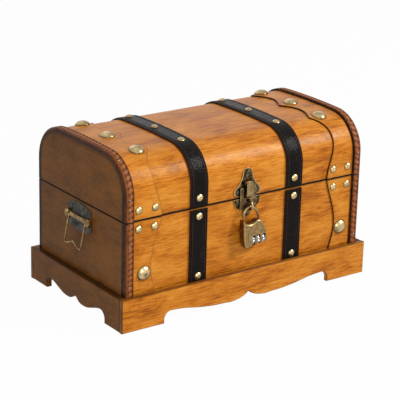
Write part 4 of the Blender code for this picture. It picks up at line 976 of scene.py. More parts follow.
def lid_face(along, level):
    """y and z on the lid's face, `along` its girth from the front lower edge and `level` above it:
    an upright, then an arc about the corner's centre, then one about the crown's, and the same
    behind in mirror image."""
    along, level = np.broadcast_arrays(along, level)
    side = np.where(along > HALF_GIRTH, 1.0, -1.0)
    place = np.where(along > HALF_GIRTH, 2 * HALF_GIRTH - along, along)
    corner = (place - LID_UPRIGHT) / LID_CORNER_RADIUS
    crown = CROWN_ANGLE - (place - LID_UPRIGHT - CORNER_ARC) / LID_CROWN_RADIUS
    cases = [place < LID_UPRIGHT, place < LID_UPRIGHT + CORNER_ARC]
    reach = LID_CORNER_RADIUS + level
    far = LID_CROWN_RADIUS + level
    out = np.select(cases, [HALF_DEPTH + level, CORNER_CENTRE + reach * np.cos(corner)], far * np.sin(crown))
    up = np.select(
        cases, [LID_UNDERSIDE + place, SHOULDER + reach * np.sin(corner)], CROWN_CENTRE + far * np.cos(crown)
    )
    return side * out, up


def box_face(side):
    """The same for the front (-1) or back (1) of the box, where `along` is the height."""

    def face(along, level):
        along, level = np.broadcast_arrays(along, level)
        return side * (HALF_DEPTH + level), along

    return face


def on_face(face, x, along, level):
    """Points at x, `along` and `level` of a face."""
    x, along, level = np.broadcast_arrays(x, along, level)
    y, z = face(along, level)
    return np.stack([x, y, z], axis=-1)


def stand_on(face, x, along, level):
    """Where pieces stand on a face: their feet, and for each its three axes, which are across the
    face, up along it and straight out of it."""
    feet = on_face(face, np.asarray(x, float), np.asarray(along, float), level)
    out = on_face(face, np.asarray(x, float), np.asarray(along, float), level + SEAT) - feet
    out /= np.linalg.norm(out, axis=1, keepdims=True)
    across = np.broadcast_to((1.0, 0.0, 0.0), out.shape)
    return feet, np.stack([across, np.cross(out, across), out], axis=1)


def edge_drop(distance, easing):
    """How far a quarter-round edge lies below its face: the easing less the height of its circle."""
    inside = np.clip(1 - distance / easing, 0, 1)
    return easing * (1 - np.sqrt(1 - inside**2))


def hump(distance, reach):
    """A bell curve: e to the power of minus the square of the distance over the reach."""
    return np.exp(-((distance / reach) ** 2))


def fade(distance, reach):
    """What is left of 1 at a distance: e to the power of minus the distance over the reach."""
    return np.exp(-distance / reach)


def edge_turn(easing, end=math.pi / 2, steps=EASING_STEPS):
    """How far in the points of a rounded edge lie, at even steps of its turn."""
    return easing * (1 - np.cos(np.linspace(0, end, steps + 1)))


def eased_row(start, end, spacing, easing):
    """Places from start to end, evenly spaced, with a few close ones in each rounded edge."""
    turn = edge_turn(easing)[:-1]
    count = max(round((end - start - 2 * easing) / spacing), 1)
    middle = np.linspace(start + easing, end - easing, count + 1)
    return np.concatenate([start + turn, middle, (end - turn)[::-1]])


def panel(face, stations, low, high, columns, base, top, easing, carve=None):
    """A sheet that lies on a face between x = low and x = high, which may change with the station.
    Its level is the top less the drop of the rounded edges and less what is carved. Returns the
    rings, with two points on the underside in each, and the grids of x, station and distance from
    the nearer side."""
    turn = edge_turn(easing)[:-1]
    middle = np.linspace(0, 1, columns + 1)
    part = np.concatenate([turn * 0, middle, turn * 0 + 1])
    offset = np.concatenate([turn, easing * (1 - 2 * middle), -turn[::-1]])
    low = np.broadcast_to(low, stations.shape)[:, None]
    high = np.broadcast_to(high, stations.shape)[:, None]
    x = low * (1 - part) + high * part + offset
    near = np.minimum(x - low, high - x)
    along = np.broadcast_to(stations[:, None], x.shape)
    near_end = np.minimum(along - stations[0], stations[-1] - along)
    level = top - edge_drop(near, easing) - edge_drop(near_end, easing)
    if carve is not None:
        level = level - carve(x, along, near)
    level = np.maximum(level, base + SEAT)
    x = np.hstack([low, x, high])
    level = np.hstack([np.full_like(low, base), level, np.full_like(low, base)])
    along = np.broadcast_to(stations[:, None], x.shape)
    near = np.hstack([np.zeros_like(low), near, np.zeros_like(low)])
    return on_face(face, x, along, level), x, along, near


def surface_of(x, along):
    """The place of each point on its face, for the materials that follow the face."""
    return np.stack([x.ravel(), along.ravel()], axis=1)


def inward(outline):
    """For each point of a closed outline, the way in, long enough that a step along it moves both
    of the edges that meet there by one."""
    ahead = np.roll(outline, -1, axis=0) - outline
    ahead /= np.linalg.norm(ahead, axis=1, keepdims=True)
    normal = np.stack([-ahead[:, 1], ahead[:, 0]], axis=1)
    both = normal + np.roll(normal, 1, axis=0)
    both /= np.maximum((both * normal).sum(axis=1, keepdims=True), CORNER_LIMIT)
    x, y = outline.T
    area = (x * np.roll(y, -1) - np.roll(x, -1) * y).sum()
    return both * math.copysign(1, area)


def drawn_in(outline, insets):
    """The outline moved in by each inset. Where a moved point comes nearer to the outline than its
    inset, as it does inside a tight corner, it goes on the line between the good ones around it."""
    way = inward(outline)
    after = np.roll(outline, -1, axis=0)
    edge = after - outline
    count = len(outline)
    index = np.arange(count)
    rings = []
    for inset in insets:
        ring = outline + way * inset
        if inset > SEAT:
            to = ring[:, None] - outline[None]
            part = np.clip((to * edge).sum(axis=2) / (edge**2).sum(axis=1), 0, 1)
            gap = np.linalg.norm(to - part[..., None] * edge, axis=2).min(axis=1)
            good = gap > inset * GOOD_INSET_SHARE
            known = index[good]
            ring = np.stack([np.interp(index, known, ring[good, k], period=count) for k in (0, 1)], axis=1)
        rings.append(ring)
    return np.array(rings)


def slab(across, outline, low, high, easing_low, easing_high):
    """A plate with rounded edges: rings of its outline, each drawn in by its share of the easing.
    `across` is the axis through the plate. Returns the rings and, for each point, how near it lies
    to the middle of a rounded edge, from 0 to 1."""
    outline = np.asarray(outline, float)
    angles = np.linspace(0, math.pi / 2, EASING_STEPS + 1)
    insets = []
    heights = []
    marks = []
    for easing, end, way in ((easing_low, low, 1), (easing_high, high, -1)):
        inset = np.concatenate([[2 * easing], easing * (1 - np.sin(angles))])
        height = end + way * np.concatenate([[0], easing * (1 - np.cos(angles))])
        mark = np.concatenate([[0], np.sin(2 * angles)])
        insets.append(inset[::way])
        heights.append(height[::way])
        marks.append(mark[::way])
    heights = np.concatenate(heights)
    flat = drawn_in(outline, np.concatenate(insets))
    height = np.broadcast_to(heights[:, None], flat.shape[:2])
    first, second = flat[..., 0], flat[..., 1]
    order = {"X": (height, first, second), "Y": (first, height, second)}
    near = np.broadcast_to(np.concatenate(marks)[:, None], height.shape)
    return np.stack(order[across], axis=-1), near


def turned(shares, radius, height, sides):
    """A shape on a lathe: each pair of shares is a ring's radius and its height."""
    shares = np.asarray(shares, float)
    angles = np.arange(sides) * (math.tau / sides)
    ring = np.stack([np.cos(angles), np.sin(angles)], axis=1)
    flat = shares[:, None, 0:1] * radius * ring[None]
    rise = np.broadcast_to(shares[:, None, 1:2] * height, (*flat.shape[:2], 1))
    return np.concatenate([flat, rise], axis=2)


def wire(path, normal, radius, sides=WIRE_SIDES):
    """A round wire along a path in one plane: at each point a circle that is spanned by the
    plane's normal and the direction square to the path."""
    path = np.asarray(path, float)
    normal = np.asarray(normal, float)
    ahead = np.vstack([path[1:], path[-1:]]) - np.vstack([path[:1], path[:-1]])
    beside = np.cross(ahead, normal)
    beside /= np.linalg.norm(beside, axis=1, keepdims=True)
    angles = np.arange(sides) * (math.tau / sides)
    around = np.cos(angles)[None, :, None] * normal + np.sin(angles)[None, :, None] * beside[:, None]
    return path[:, None] + radius * around


def lid_panel_width(along):
    """The waved panel's width on the lid: a line from point to point, less a skewed half sine."""
    way = np.minimum(along, 2 * HALF_GIRTH - along) / HALF_GIRTH
    straight = np.interp(way, LID_POINT_SHARES, LID_POINT_WIDTHS)
    first = way < LID_POINT_SHARES[1]
    start = np.where(first, LID_POINT_SHARES[0], LID_POINT_SHARES[1])
    end = np.where(first, LID_POINT_SHARES[1], LID_POINT_SHARES[2])
    depth = np.where(first, *LID_WAVE_DEPTHS)
    skew = np.where(first, *LID_WAVE_SKEWS)
    part = np.clip((way - start) / (end - start), 0, 1)
    return straight - depth * np.maximum(np.sin(math.pi * part**skew), 0)


def box_panel_width(height):
    """The same on the box, between the rim and the plinth's top."""
    part = np.clip((BOX_TOP - height) / (BOX_TOP - PLINTH_TOP), 0, 1)
    straight = BOX_POINT_WIDTHS[0] * (1 - part) + BOX_POINT_WIDTHS[1] * part
    return straight - BOX_WAVE_DEPTH * np.maximum(np.sin(math.pi * part**BOX_WAVE_SKEW), 0)


def faces_of_the_chest(spacing, easing):
    """For the lid and both walls of the box: the part of a piece's name, the body, the face and a
    row of stations along it."""
    heights = eased_row(BOX_UNDERSIDE, BOX_TOP, spacing, easing)
    return (
        ("lid", "", "lid", lid_face, eased_row(0, 2 * HALF_GIRTH, spacing, easing)),
        ("box", "_front", "chest", box_face(-1), heights),
        ("box", "_back", "chest", box_face(1), heights),
    )


def make_plinth(sizes):
    """Four boards with rounded edges and a scrolled lower edge between their feet."""
    boards = (
        ("plinth_front", "Y", -PLINTH_HALF_DEPTH, -PLINTH_INNER, "plinth_wood"),
        ("plinth_back", "Y", PLINTH_INNER, PLINTH_HALF_DEPTH, "plinth_wood"),
        ("plinth_left_end", "X", -PLINTH_HALF_LENGTH, -PLINTH_END_INNER, "plinth_end_wood"),
        ("plinth_right_end", "X", PLINTH_END_INNER, PLINTH_HALF_LENGTH, "plinth_end_wood"),
    )
    outlines = {
        "Y": board_outline(PLINTH_HALF_LENGTH, FRONT_FOOT_EDGE, FRONT_APRON_SHARES),
        "X": board_outline(PLINTH_INNER - SEAT, END_FOOT_EDGE, END_APRON_SHARES),
    }
    for name, across, low, high, finish in boards:
        inner = sizes.panel_easing
        easings = (sizes.board_easing, inner) if low < 0 else (inner, sizes.board_easing)
        rings, near = slab(across, outlines[across], low, high, *easings)
        glaze = near * BOARD_EDGE_GLAZE
        add_piece(name + "_board", "chest", finish, ringed(rings), (name,), glaze=glaze)
    make_plinth_pins(sizes)


def board_outline(half_length, foot_edge, apron_shares):
    """Half a board: its foot, a quarter arc, and a curve through shares of the apron's rise."""
    arc_end = foot_edge - FOOT_ARC_RADIUS
    foot = arc((arc_end, APRON_RISE - FOOT_ARC_RADIUS), FOOT_ARC_RADIUS, 0, math.pi / 2, 8)
    scroll = [(arc_end * along, APRON_RISE * rise) for along, rise in apron_shares]
    edge = catmull([foot[-1], *scroll], 5)
    corners = [(0, PLINTH_TOP), (half_length, PLINTH_TOP), (half_length, 0), (foot_edge, 0)]
    return mirrored(np.vstack([corners, foot[:-1], edge]))


def pin_head(sizes, rise):
    """The head of a small pin, as high as its radius times the rise."""
    return ringed(turned(PIN_HEAD_SHARES, sizes.pin_radius, sizes.pin_radius * rise, PIN_SIDES))


def make_plinth_pins(sizes):
    """Small nails that hold the front and back boards to the end boards."""
    x = PLINTH_HALF_LENGTH - PLINTH_PIN_MARGIN
    head = pin_head(sizes, PLINTH_PIN_RISE_SHARE)
    shapes = []
    for side in (-1, 1):
        y = side * PLINTH_HALF_DEPTH
        feet = [(end * x, y, height) for end in (-1, 1) for height in PLINTH_PIN_HEIGHTS]
        axes = [((1, 0, 0), (0, 0, -side), (0, side, 0))] * len(feet)
        shapes.append(repeated(head, feet, axes))
    glaze = PIN_GLAZE * marks_like(shapes)
    add_piece("plinth_pins", "chest", "steel_pin", joined(shapes), glaze=glaze)


def marks_like(shapes):
    """A one for each point of some shapes."""
    return np.ones(sum(len(points) for points, _ in shapes))


def make_lid(sizes):
    """The lid's curved skin, and its two end boards with the same outline."""
    easing = sizes.panel_easing
    stations = eased_row(0, 2 * HALF_GIRTH, LID_SPACING, easing)
    half = HALF_LENGTH - WALL - SEAT
    rings, x, _, _ = panel(lid_face, stations, -half, half, 8, -LID_SKIN, 0, easing)
    raw = np.zeros_like(x)
    raw[:, 0] = raw[:, -1] = 1
    add_piece("lid_top", "lid", "lid_wood", ringed(rings), ("lid_skin",), raw=raw)
    y, z = lid_face(np.linspace(0, 2 * HALF_GIRTH, LID_OUTLINE_POINTS), 0)
    outline = np.stack([y, z], axis=1)
    for hand, side in HANDS:
        low, high = sorted((side * HALF_LENGTH, side * (HALF_LENGTH - WALL)))
        rings, near = slab("X", outline, low, high, easing, easing)
        inner = np.abs(rings[..., 0]) < HALF_LENGTH - WALL + easing / 2
        marks = {"raw": inner * 1.0, "glaze": near * ~inner * LID_EDGE_GLAZE}
        add_piece(f"lid_{hand}_board", "lid", "end_wood", ringed(rings), (f"lid_{hand}_end",), **marks)
    dress("honey_wood", "box_front", "box_back", "base_panel", "lid_front_rail", "lid_back_rail")
    dress("end_wood", "box_left_end", "box_right_end")


def carving(sizes):
    """The carving of a moulding, as a depth at a distance across it and a place along it: a row of
    slanted beads, each half an ellipsoid, in a sunk band between two fine lines."""
    width = STRIP_WIDTH * CARVED_LINE_WIDTH_SHARE

    def depth(inner, along):
        phase = ((along + BEAD_SLANT * inner) / sizes.carving_pitch) % 1.0 - 0.5
        across = (inner - STRIP_WIDTH * BEAD_MIDDLE_SHARE) / (STRIP_WIDTH * BEAD_HALF_SHARE)
        bead = np.sqrt(np.clip(1 - (phase / BEAD_PITCH_SHARE) ** 2 - across**2, 0, 1))
        band = np.clip((1 - np.abs(across)) * BAND_STEEPNESS, 0, 1)
        lines = sum(hump(inner - STRIP_WIDTH * share, width) for share in CARVED_LINE_SHARES)
        return sizes.carving_depth * np.maximum(band * (1 - bead), CARVED_LINE_DEPTH_SHARE * lines)

    return depth


def moulding_section(easing):
    """Distances across a moulding from its inner side, and the levels there: an eased edge, the flat
    that is carved, and the rounded outer corner."""
    start = STRIP_WIDTH - STRIP_ROUNDING
    flat = np.concatenate([edge_turn(easing, STRIP_EASED_TURN, 2), np.linspace(easing, start, 26)])
    corner = arc((start, STRIP_TOP - STRIP_ROUNDING), STRIP_ROUNDING, math.pi / 2, 0, 7)[1:]
    inner = np.concatenate([[0], flat, corner[:, 0], [STRIP_WIDTH]])
    level = np.concatenate([[SEAT], STRIP_TOP - edge_drop(flat, easing), corner[:, 1], [SEAT]])
    return inner, level


def make_mouldings(sizes):
    """Corner mouldings: flat bars with a rounded outer corner and a carved face."""
    depth_at = carving(sizes)
    easing = sizes.panel_easing
    section, level = moulding_section(easing)
    for part, face_name, body, face, stations in faces_of_the_chest(CARVING_SPACING, easing):
        inner = np.broadcast_to(section, (len(stations), len(section)))
        along = np.broadcast_to(stations[:, None], inner.shape)
        near_end = np.minimum(along - stations[0], stations[-1] - along)
        top = level > SEAT * 2
        depth = depth_at(inner, along) * np.clip(near_end / STRIP_ROUNDING, 0, 1) * top
        carved = level - (depth + edge_drop(near_end, easing) * top)
        deep = np.clip(depth / sizes.carving_depth, 0, 1) ** 1.2
        outer = np.clip((inner - STRIP_WIDTH + STRIP_ROUNDING) / STRIP_ROUNDING, 0, 1)
        # Painted shadow along the inner side and at the ends; the rounded outer corner is stained dark
        edge = fade(inner, MOULDING_INNER_SHADOW) + fade(near_end, MOULDING_END_SHADOW)
        edge = edge + MOULDING_OUTER_GLAZE * outer**1.3
        ridge = hump(inner - STRIP_WIDTH * RIDGE_SHARE, STRIP_WIDTH * RIDGE_WIDTH_SHARE) * (1 - deep) ** 2
        for hand, side in HANDS:
            rings = on_face(face, side * (STRIP_INNER + inner), along, carved)
            add_piece(
                f"{part}_moulding{face_name}_{hand}",
                body,
                "moulding_wood",
                ringed(rings),
                (f"{part}_strip{face_name}_{hand}",),
                surface_of(inner, along),
                glaze=np.clip(MOULDING_HOLLOW_GLAZE * deep + edge, 0, 1),
                wear=np.clip(ridge * MOULDING_RIDGE_WEAR, 0, 1),
            )
    make_moulding_pins(sizes)


def make_moulding_pins(sizes):
    """Small steel pins that hold the mouldings."""
    head = pin_head(sizes, MOULDING_PIN_RISE_SHARE)
    x = STRIP_INNER + STRIP_WIDTH * MOULDING_PIN_SHARE
    behind = [2 * HALF_GIRTH - place for place in LID_PIN_PLACES[::-1]]
    lid_places = (*LID_PIN_PLACES, LID_CROWN_PIN, *behind)
    rows = {
        "lid": ((lid_face, lid_places),),
        "chest": ((box_face(-1), BOX_PIN_HEIGHTS), (box_face(1), BOX_PIN_HEIGHTS)),
    }
    for body, faces in rows.items():
        shapes = []
        for face, places in faces:
            across = np.repeat((-x, x), len(places))
            shapes.append(repeated(head, *stand_on(face, across, np.tile(places, 2), STRIP_TOP - SEAT)))
        add_piece(f"{body}_moulding_pins", body, "steel_pin", joined(shapes), wear=marks_like(shapes))


def make_panels(sizes):
    """The thin panels with a waved inner edge. The edge is stained dark and also painted black as the shade
    on its side wall, with a soft painted shade beside it.
    """
    easing = sizes.panel_easing
    for part, face_name, body, face, stations in faces_of_the_chest(PANEL_SPACING, easing):
        width_at = lid_panel_width if part == "lid" else box_panel_width
        for hand, side in HANDS:
            inner = STRIP_INNER - width_at(stations)
            rings, _, _, near = panel(
                face, stations, inner, STRIP_INNER - SEAT, 24, SEAT, PANEL_TOP, easing
            )
            rings[..., 0] *= side
            glaze = fade(near, PANEL_EDGE_STAIN_AND_SHADOW) + PANEL_SHADE_STRENGTH * fade(near, PANEL_SHADE)
            add_piece(
                f"{part}_panel{face_name}_{hand}",
                body,
                "panel_wood",
                ringed(rings),
                (f"{part}_overlay{face_name}_{hand}",),
                glaze=np.clip(glaze, 0, 1),
            )


def strap_creases(sizes):
    """Two creased lines near each side, and a face that falls a little towards its sides."""

    def depth(x, along, near):
        lines = (sizes.crease_inset, 2 * sizes.seam_inset - sizes.crease_inset)
        crease = sum(hump(near - line, CREASE_WIDTH) for line in lines)
        seam = SEAM_DEPTH_SHARE * hump(near - sizes.seam_inset, SEAM_WIDTH)
        fall = SIDE_FALL_SHARE * (1 - near / STRAP_HALF_WIDTH) ** 3
        return sizes.crease_depth * (crease + seam + fall)

    return depth


def make_straps(sizes):
    """Leather straps over the lid and down the front and back, with a row of stitches along each
    side."""
    easing = sizes.panel_easing * STRAP_EASING_SHARE
    ridge = 2 * sizes.seam_inset - sizes.crease_inset + STRAP_RIDGE_OFFSET
    level = (SEAT, STRAP_TOP)
    for part, face_name, body, face, stations in faces_of_the_chest(STRAP_SPACING, easing):
        if part == "box":
            stations = eased_row(BOX_UNDERSIDE, BOX_TOP - STRAP_SETBACK, STRAP_SPACING, easing)
        for hand, side in HANDS:
            centre = side * STRAP_X
            across = (centre - STRAP_HALF_WIDTH, centre + STRAP_HALF_WIDTH)
            creases = strap_creases(sizes)
            rings, x, along, near = panel(face, stations, *across, 64, *level, easing, creases)
            name = f"{part}_strap{face_name}_{hand}"
            edge = fade(near, STRAP_EDGE_STAIN)
            # A lighter line along the ridge inside the stitching: painted highlight
            edge = edge + STRAP_RIDGE_HIGHLIGHT * hump(near - ridge, STRAP_EDGE_STAIN)
            surface = surface_of(x, along)
            add_piece(name + "_leather", body, "black_leather", ringed(rings), (name,), surface, edge=edge)
            shape = stitches(sizes, face, centre, stations[0], stations[-1])
            add_piece(name + "_stitching", body, "thread", shape)


def stitches(sizes, face, centre, start, end):
    """Stitches as short rounded bars that dip at both ends, in a row near each side of a strap."""
    count = int((end - start - sizes.stitch_pitch) / sizes.stitch_pitch)
    places = start + (np.arange(count) + 1) * sizes.stitch_pitch
    along = np.tile(places, 2)
    offset = STRAP_HALF_WIDTH - sizes.seam_inset
    x = centre + np.repeat((-offset, offset), count)
    reach = np.linspace(-0.5, 0.5, 6) * sizes.stitch_length
    dip = STITCH_DIP_SHARE * (reach / sizes.stitch_length * 2) ** 4
    lift = sizes.stitch_radius * (STITCH_LIFT_SHARE - dip)
    path = np.stack([reach * STITCH_SLANT, reach, lift], axis=1)
    thick = wire(path, (1, 0, 0), sizes.stitch_radius, THREAD_SIDES)
    level = STRAP_TOP - sizes.crease_depth * STITCH_SUNK_SHARE
    return repeated(ringed(thick), *stand_on(face, x, along, level))


def both_ways(places):
    """Places along the lid's front, and their mirror images behind."""
    return [*places, *[2 * HALF_GIRTH - place for place in places if place < HALF_GIRTH - SEAT]]


def nail_rows():
    """Every nail head: the name of its group, body, face, x, place along the face, level, size."""
    rows = []
    outer = STRIP_INNER - NAIL_RADIUS - NAIL_OUTER_MARGIN
    for along in both_ways((NAIL_ABOVE_RIM,)):
        inner = STRIP_INNER - lid_panel_width(along) + NAIL_RADIUS + NAIL_INNER_MARGIN
        rows += [("lid_panel", "lid", lid_face, x, along, PANEL_TOP, "small") for x in (outer, inner)]
    for girth_share, width_share in BIG_NAIL_LID_SHARES:
        for along in both_ways((HALF_GIRTH * girth_share,)):
            x = STRIP_INNER - lid_panel_width(along) * (1 - width_share)
            rows.append(("lid_panel", "lid", lid_face, x, along, PANEL_TOP, "big"))
    for along in both_ways((NAIL_ABOVE_RIM, HALF_GIRTH * STRAP_NAIL_SHARE, HALF_GIRTH)):
        rows.append(("lid_strap", "lid", lid_face, STRAP_X, along, STRAP_TOP, "small"))
    for face_name, side in (("front", -1), ("back", 1)):
        face = box_face(side)
        height = BOX_TOP - NAIL_BELOW_RIM
        inner = STRIP_INNER - box_panel_width(height) + NAIL_RADIUS + NAIL_INNER_MARGIN
        group = "box_panel_" + face_name
        rows += [(group, "chest", face, x, height, PANEL_TOP, "small") for x in (outer, inner)]
        low = PLINTH_TOP + BIG_NAIL_ABOVE_PLINTH
        x = STRIP_INNER - box_panel_width(low) * (1 - BIG_NAIL_BOX_SHARE)
        rows.append((group, "chest", face, x, low, PANEL_TOP, "big"))
        group = "box_strap_" + face_name
        for along in (height, PLINTH_TOP + STRAP_NAIL_ABOVE_PLINTH):
            rows.append((group, "chest", face, STRAP_X, along, STRAP_TOP, "small"))
    return rows


def nail_marks(head, shares, radius, kind):
    """How dark and how bright a nail head is painted at each point: painted shade at its rim and on the side
    away from the light, patina in a small head's dimple, and a painted highlight where it faces the light."""
    out = np.broadcast_to(np.asarray(shares)[:, None, 0], head.shape[:2])
    dark = np.clip((out - NAIL_RIM_SHARE) / (1 - NAIL_RIM_SHARE), 0, 1) ** 1.2 * NAIL_RIM_PAINTED_SHADE
    away = (head[..., :2] * NAIL_PAINTED_SHADE_SIDE).sum(axis=2) / radius
    shaded = np.clip(NAIL_PAINTED_SHADE_START + NAIL_PAINTED_SHADE_RISE * away, 0, 1) ** 1.5 * NAIL_PAINTED_SHADE_STRENGTH
    dark = np.maximum(dark, shaded)
    if kind == "small":
        outer, inner = NAIL_DIMPLE_SHARES
        dark = np.maximum(dark, np.clip((outer - out) / (outer - inner), 0, 1) * NAIL_DIMPLE_GLAZE)
    outer, inner = NAIL_PAINTED_HIGHLIGHT_SHARES
    bright = np.clip(NAIL_PAINTED_HIGHLIGHT_START - NAIL_PAINTED_HIGHLIGHT_RISE * away, 0, 1)
    bright = bright * np.clip((outer - out) / (outer - inner), 0, 1)
    return dark.ravel(), bright.ravel()


def make_nails():
    """Domed brass heads, each a profile on a lathe, with painted shade round the rim and on the side away
    from the light, and a painted highlight towards it.
    """
    kinds = {
        "small": (SMALL_HEAD_SHARES, NAIL_RADIUS, NAIL_HEIGHT),
        "big": (BIG_HEAD_SHARES, BIG_NAIL_RADIUS, BIG_NAIL_HEIGHT),
    }
    groups = {}
    for group, body, face, x, along, level, kind in nail_rows():
        shares, radius, height = kinds[kind]
        head = turned(shares, radius, height, NAIL_SIDES)
        dark, bright = nail_marks(head, shares, radius, kind)
        shapes, glaze, wear, _ = groups.setdefault(group, ([], [], [], body))
        shapes.append(repeated(ringed(head), *stand_on(face, [-x, x], [along, along], level)))
        # The glaze list holds the painted shade and the dimple's patina, the wear list the painted highlight
        glaze += [dark, dark]
        wear += [bright, bright]
    for group, (shapes, glaze, wear, body) in groups.items():
        marks = {"glaze": np.concatenate(glaze), "wear": np.concatenate(wear)}
        add_piece(group + "_nails", body, "antique_brass", joined(shapes), **marks)


def screw_head(sizes):
    """A slotted screw head: a low dome with a bar cut out of it."""
    dome = turned(SCREW_HEAD_SHARES, sizes.screw_radius, sizes.screw_height, SCREW_SIDES)
    half = sizes.screw_slot / 2
    reach = sizes.screw_radius * SLOT_LENGTH_SHARE
    heights = (sizes.screw_height * SLOT_FLOOR_SHARE, sizes.screw_height * SLOT_TOP_SHARE)
    slot = box_shape((-reach, reach), (-half, half), heights)
    return cut(object_of("screw_dome", ringed(dome)), [slot])


def add_screws(name, body, head, feet, axes, turns, glaze):
    """A row of screws, each turned by its own angle, with steel heads that are stained dark."""
    shape = repeated(head, feet, turned_axes(axes, np.array(turns)))
    add_piece(name, body, "steel_pin", shape, glaze=glaze * marks_like([shape]))


def object_of(name, shape):
    """An object that is only made to be cut or to cut."""
    mesh = mesh_of(name, shape)
    outward(mesh)
    return placed(name, mesh)


def shape_of(obj):
    """The points and faces of an object as its modifiers or its font leave it."""
    mesh = bpy.data.meshes.new_from_object(obj.evaluated_get(bpy.context.evaluated_depsgraph_get()))
    points = np.empty(len(mesh.vertices) * 3)
    mesh.vertices.foreach_get("co", points)
    faces = [list(face.vertices) for face in mesh.polygons]
    bpy.data.meshes.remove(mesh)
    return points.reshape(-1, 3), faces


def cut(obj, cutters):
    """The points and faces that are left of an object when the cutters are taken out of it."""
    tools = [object_of(f"{obj.name}_cut_{number}", shape) for number, shape in enumerate(cutters)]
    for tool in tools:
        modifier = obj.modifiers.new(tool.name, "BOOLEAN")
        modifier.operation = "DIFFERENCE"
        modifier.object = tool
    shape = shape_of(obj)
    for used in (obj, *tools):
        bpy.data.meshes.remove(used.data)
    return shape


def turned_axes(axes, angles):
    """Axes turned about their third one, so that slots don't all point the same way."""
    axes = np.asarray(axes, float)
    cosine = np.cos(angles)[:, None]
    sine = np.sin(angles)[:, None]
    first = cosine * axes[:, 0] + sine * axes[:, 1]
    second = cosine * axes[:, 1] - sine * axes[:, 0]
    return np.stack([first, second, axes[:, 2]], axis=1)


def bell_plate(easing):
    """The bell-shaped plate on the lid, whose width follows a table of shares, with its wear."""
    table = catmull(UPPER_PLATE_SHARES, 4)
    nose = 1 - np.linspace(0, UPPER_PLATE_NOSE_SHARE, 40) ** 2
    rise = np.unique(np.concatenate([np.linspace(0, 1, 90), nose]))
    half = np.interp(rise, table[:, 0], table[:, 1]) * UPPER_PLATE_HALF
    stations = UPPER_PLATE_START + rise * UPPER_PLATE_HEIGHT
    rings, _, along, near = panel(lid_face, stations, -half, half, 14, SEAT, PLATE_TOP, easing)
    end = np.minimum(along - stations[0], stations[-1] - along)
    worn = np.exp(-((np.minimum(near, end) / PLATE_RIM_WEAR) ** 4))
    return ringed(rings), worn.ravel()


def make_latch(sizes):
    """The bell-shaped upper plate with its lugs, the lower plate, the staple and the hasp."""
    easing = sizes.metal_easing
    plate, worn = bell_plate(easing)
    lugs = [lug(side, easing) for side in (-1, 1)]
    marks = np.concatenate([worn, *[mark * LUG_WEAR for _, mark in lugs]])
    shape = joined([plate, *[part for part, _ in lugs]])
    add_piece("latch_bell_plate", "lid", "dark_bronze", shape, ("latch_upper_plate",), wear=marks)
    foot = BOX_TOP - LOWER_PLATE_HEIGHT
    lower = [(LOWER_PLATE_HALF * x, foot + LOWER_PLATE_HEIGHT * z) for x, z in LOWER_PLATE_SHARES]
    lower = mirrored(np.vstack([catmull(lower, 4), [(LOWER_PLATE_HALF, BOX_TOP), (0, BOX_TOP)]]))
    easings = (easing * PLATE_EASING_SHARE, SEAT / 2)
    rings, near = slab("Y", lower, -PLATE_FACE, -(HALF_DEPTH + SEAT), *easings)
    add_piece("latch_foot_plate", "chest", "dark_bronze", ringed(rings), ("latch_lower_plate",), wear=near)
    turn = arc((STAPLE_Y, STAPLE_Z), STAPLE_RING, math.pi / 2, 3 * math.pi / 2, 28)
    root = -(PLATE_FACE + SEAT)
    path = np.vstack([[(root, STAPLE_Z + STAPLE_RING)], turn, [(root, STAPLE_Z - STAPLE_RING)]])
    ring = wire(np.insert(path, 0, 0, axis=1), (1, 0, 0), STAPLE_WIRE)
    worn = np.clip((STAPLE_Y - ring[..., 1]) / STAPLE_RING, 0, 1) * STAPLE_WEAR
    add_piece("latch_ring", "chest", "dark_bronze", ringed(ring), ("latch_staple",), wear=worn)
    make_hasp(easing)
    make_latch_screws(sizes)
    dress("steel_pin", "latch_pin")


def lug(side, easing):
    """A lug that carries the hasp's pin, with a round nose."""
    root = -(PLATE_FACE - LUG_ROOT)
    nose = arc((HASP_Y, HASP_Z), HASP_KNUCKLE, -math.pi / 2, -3 * math.pi / 2, 14)
    outline = np.vstack([[(root, HASP_Z - HASP_KNUCKLE)], nose, [(root, HASP_Z + HASP_KNUCKLE)]])
    near_x = HASP_HALF_WIDTH + SEAT
    low, high = sorted((side * near_x, side * (near_x + LUG_THICKNESS)))
    rings, near = slab("X", outline, low, high, easing, easing)
    return ringed(rings), near.ravel()


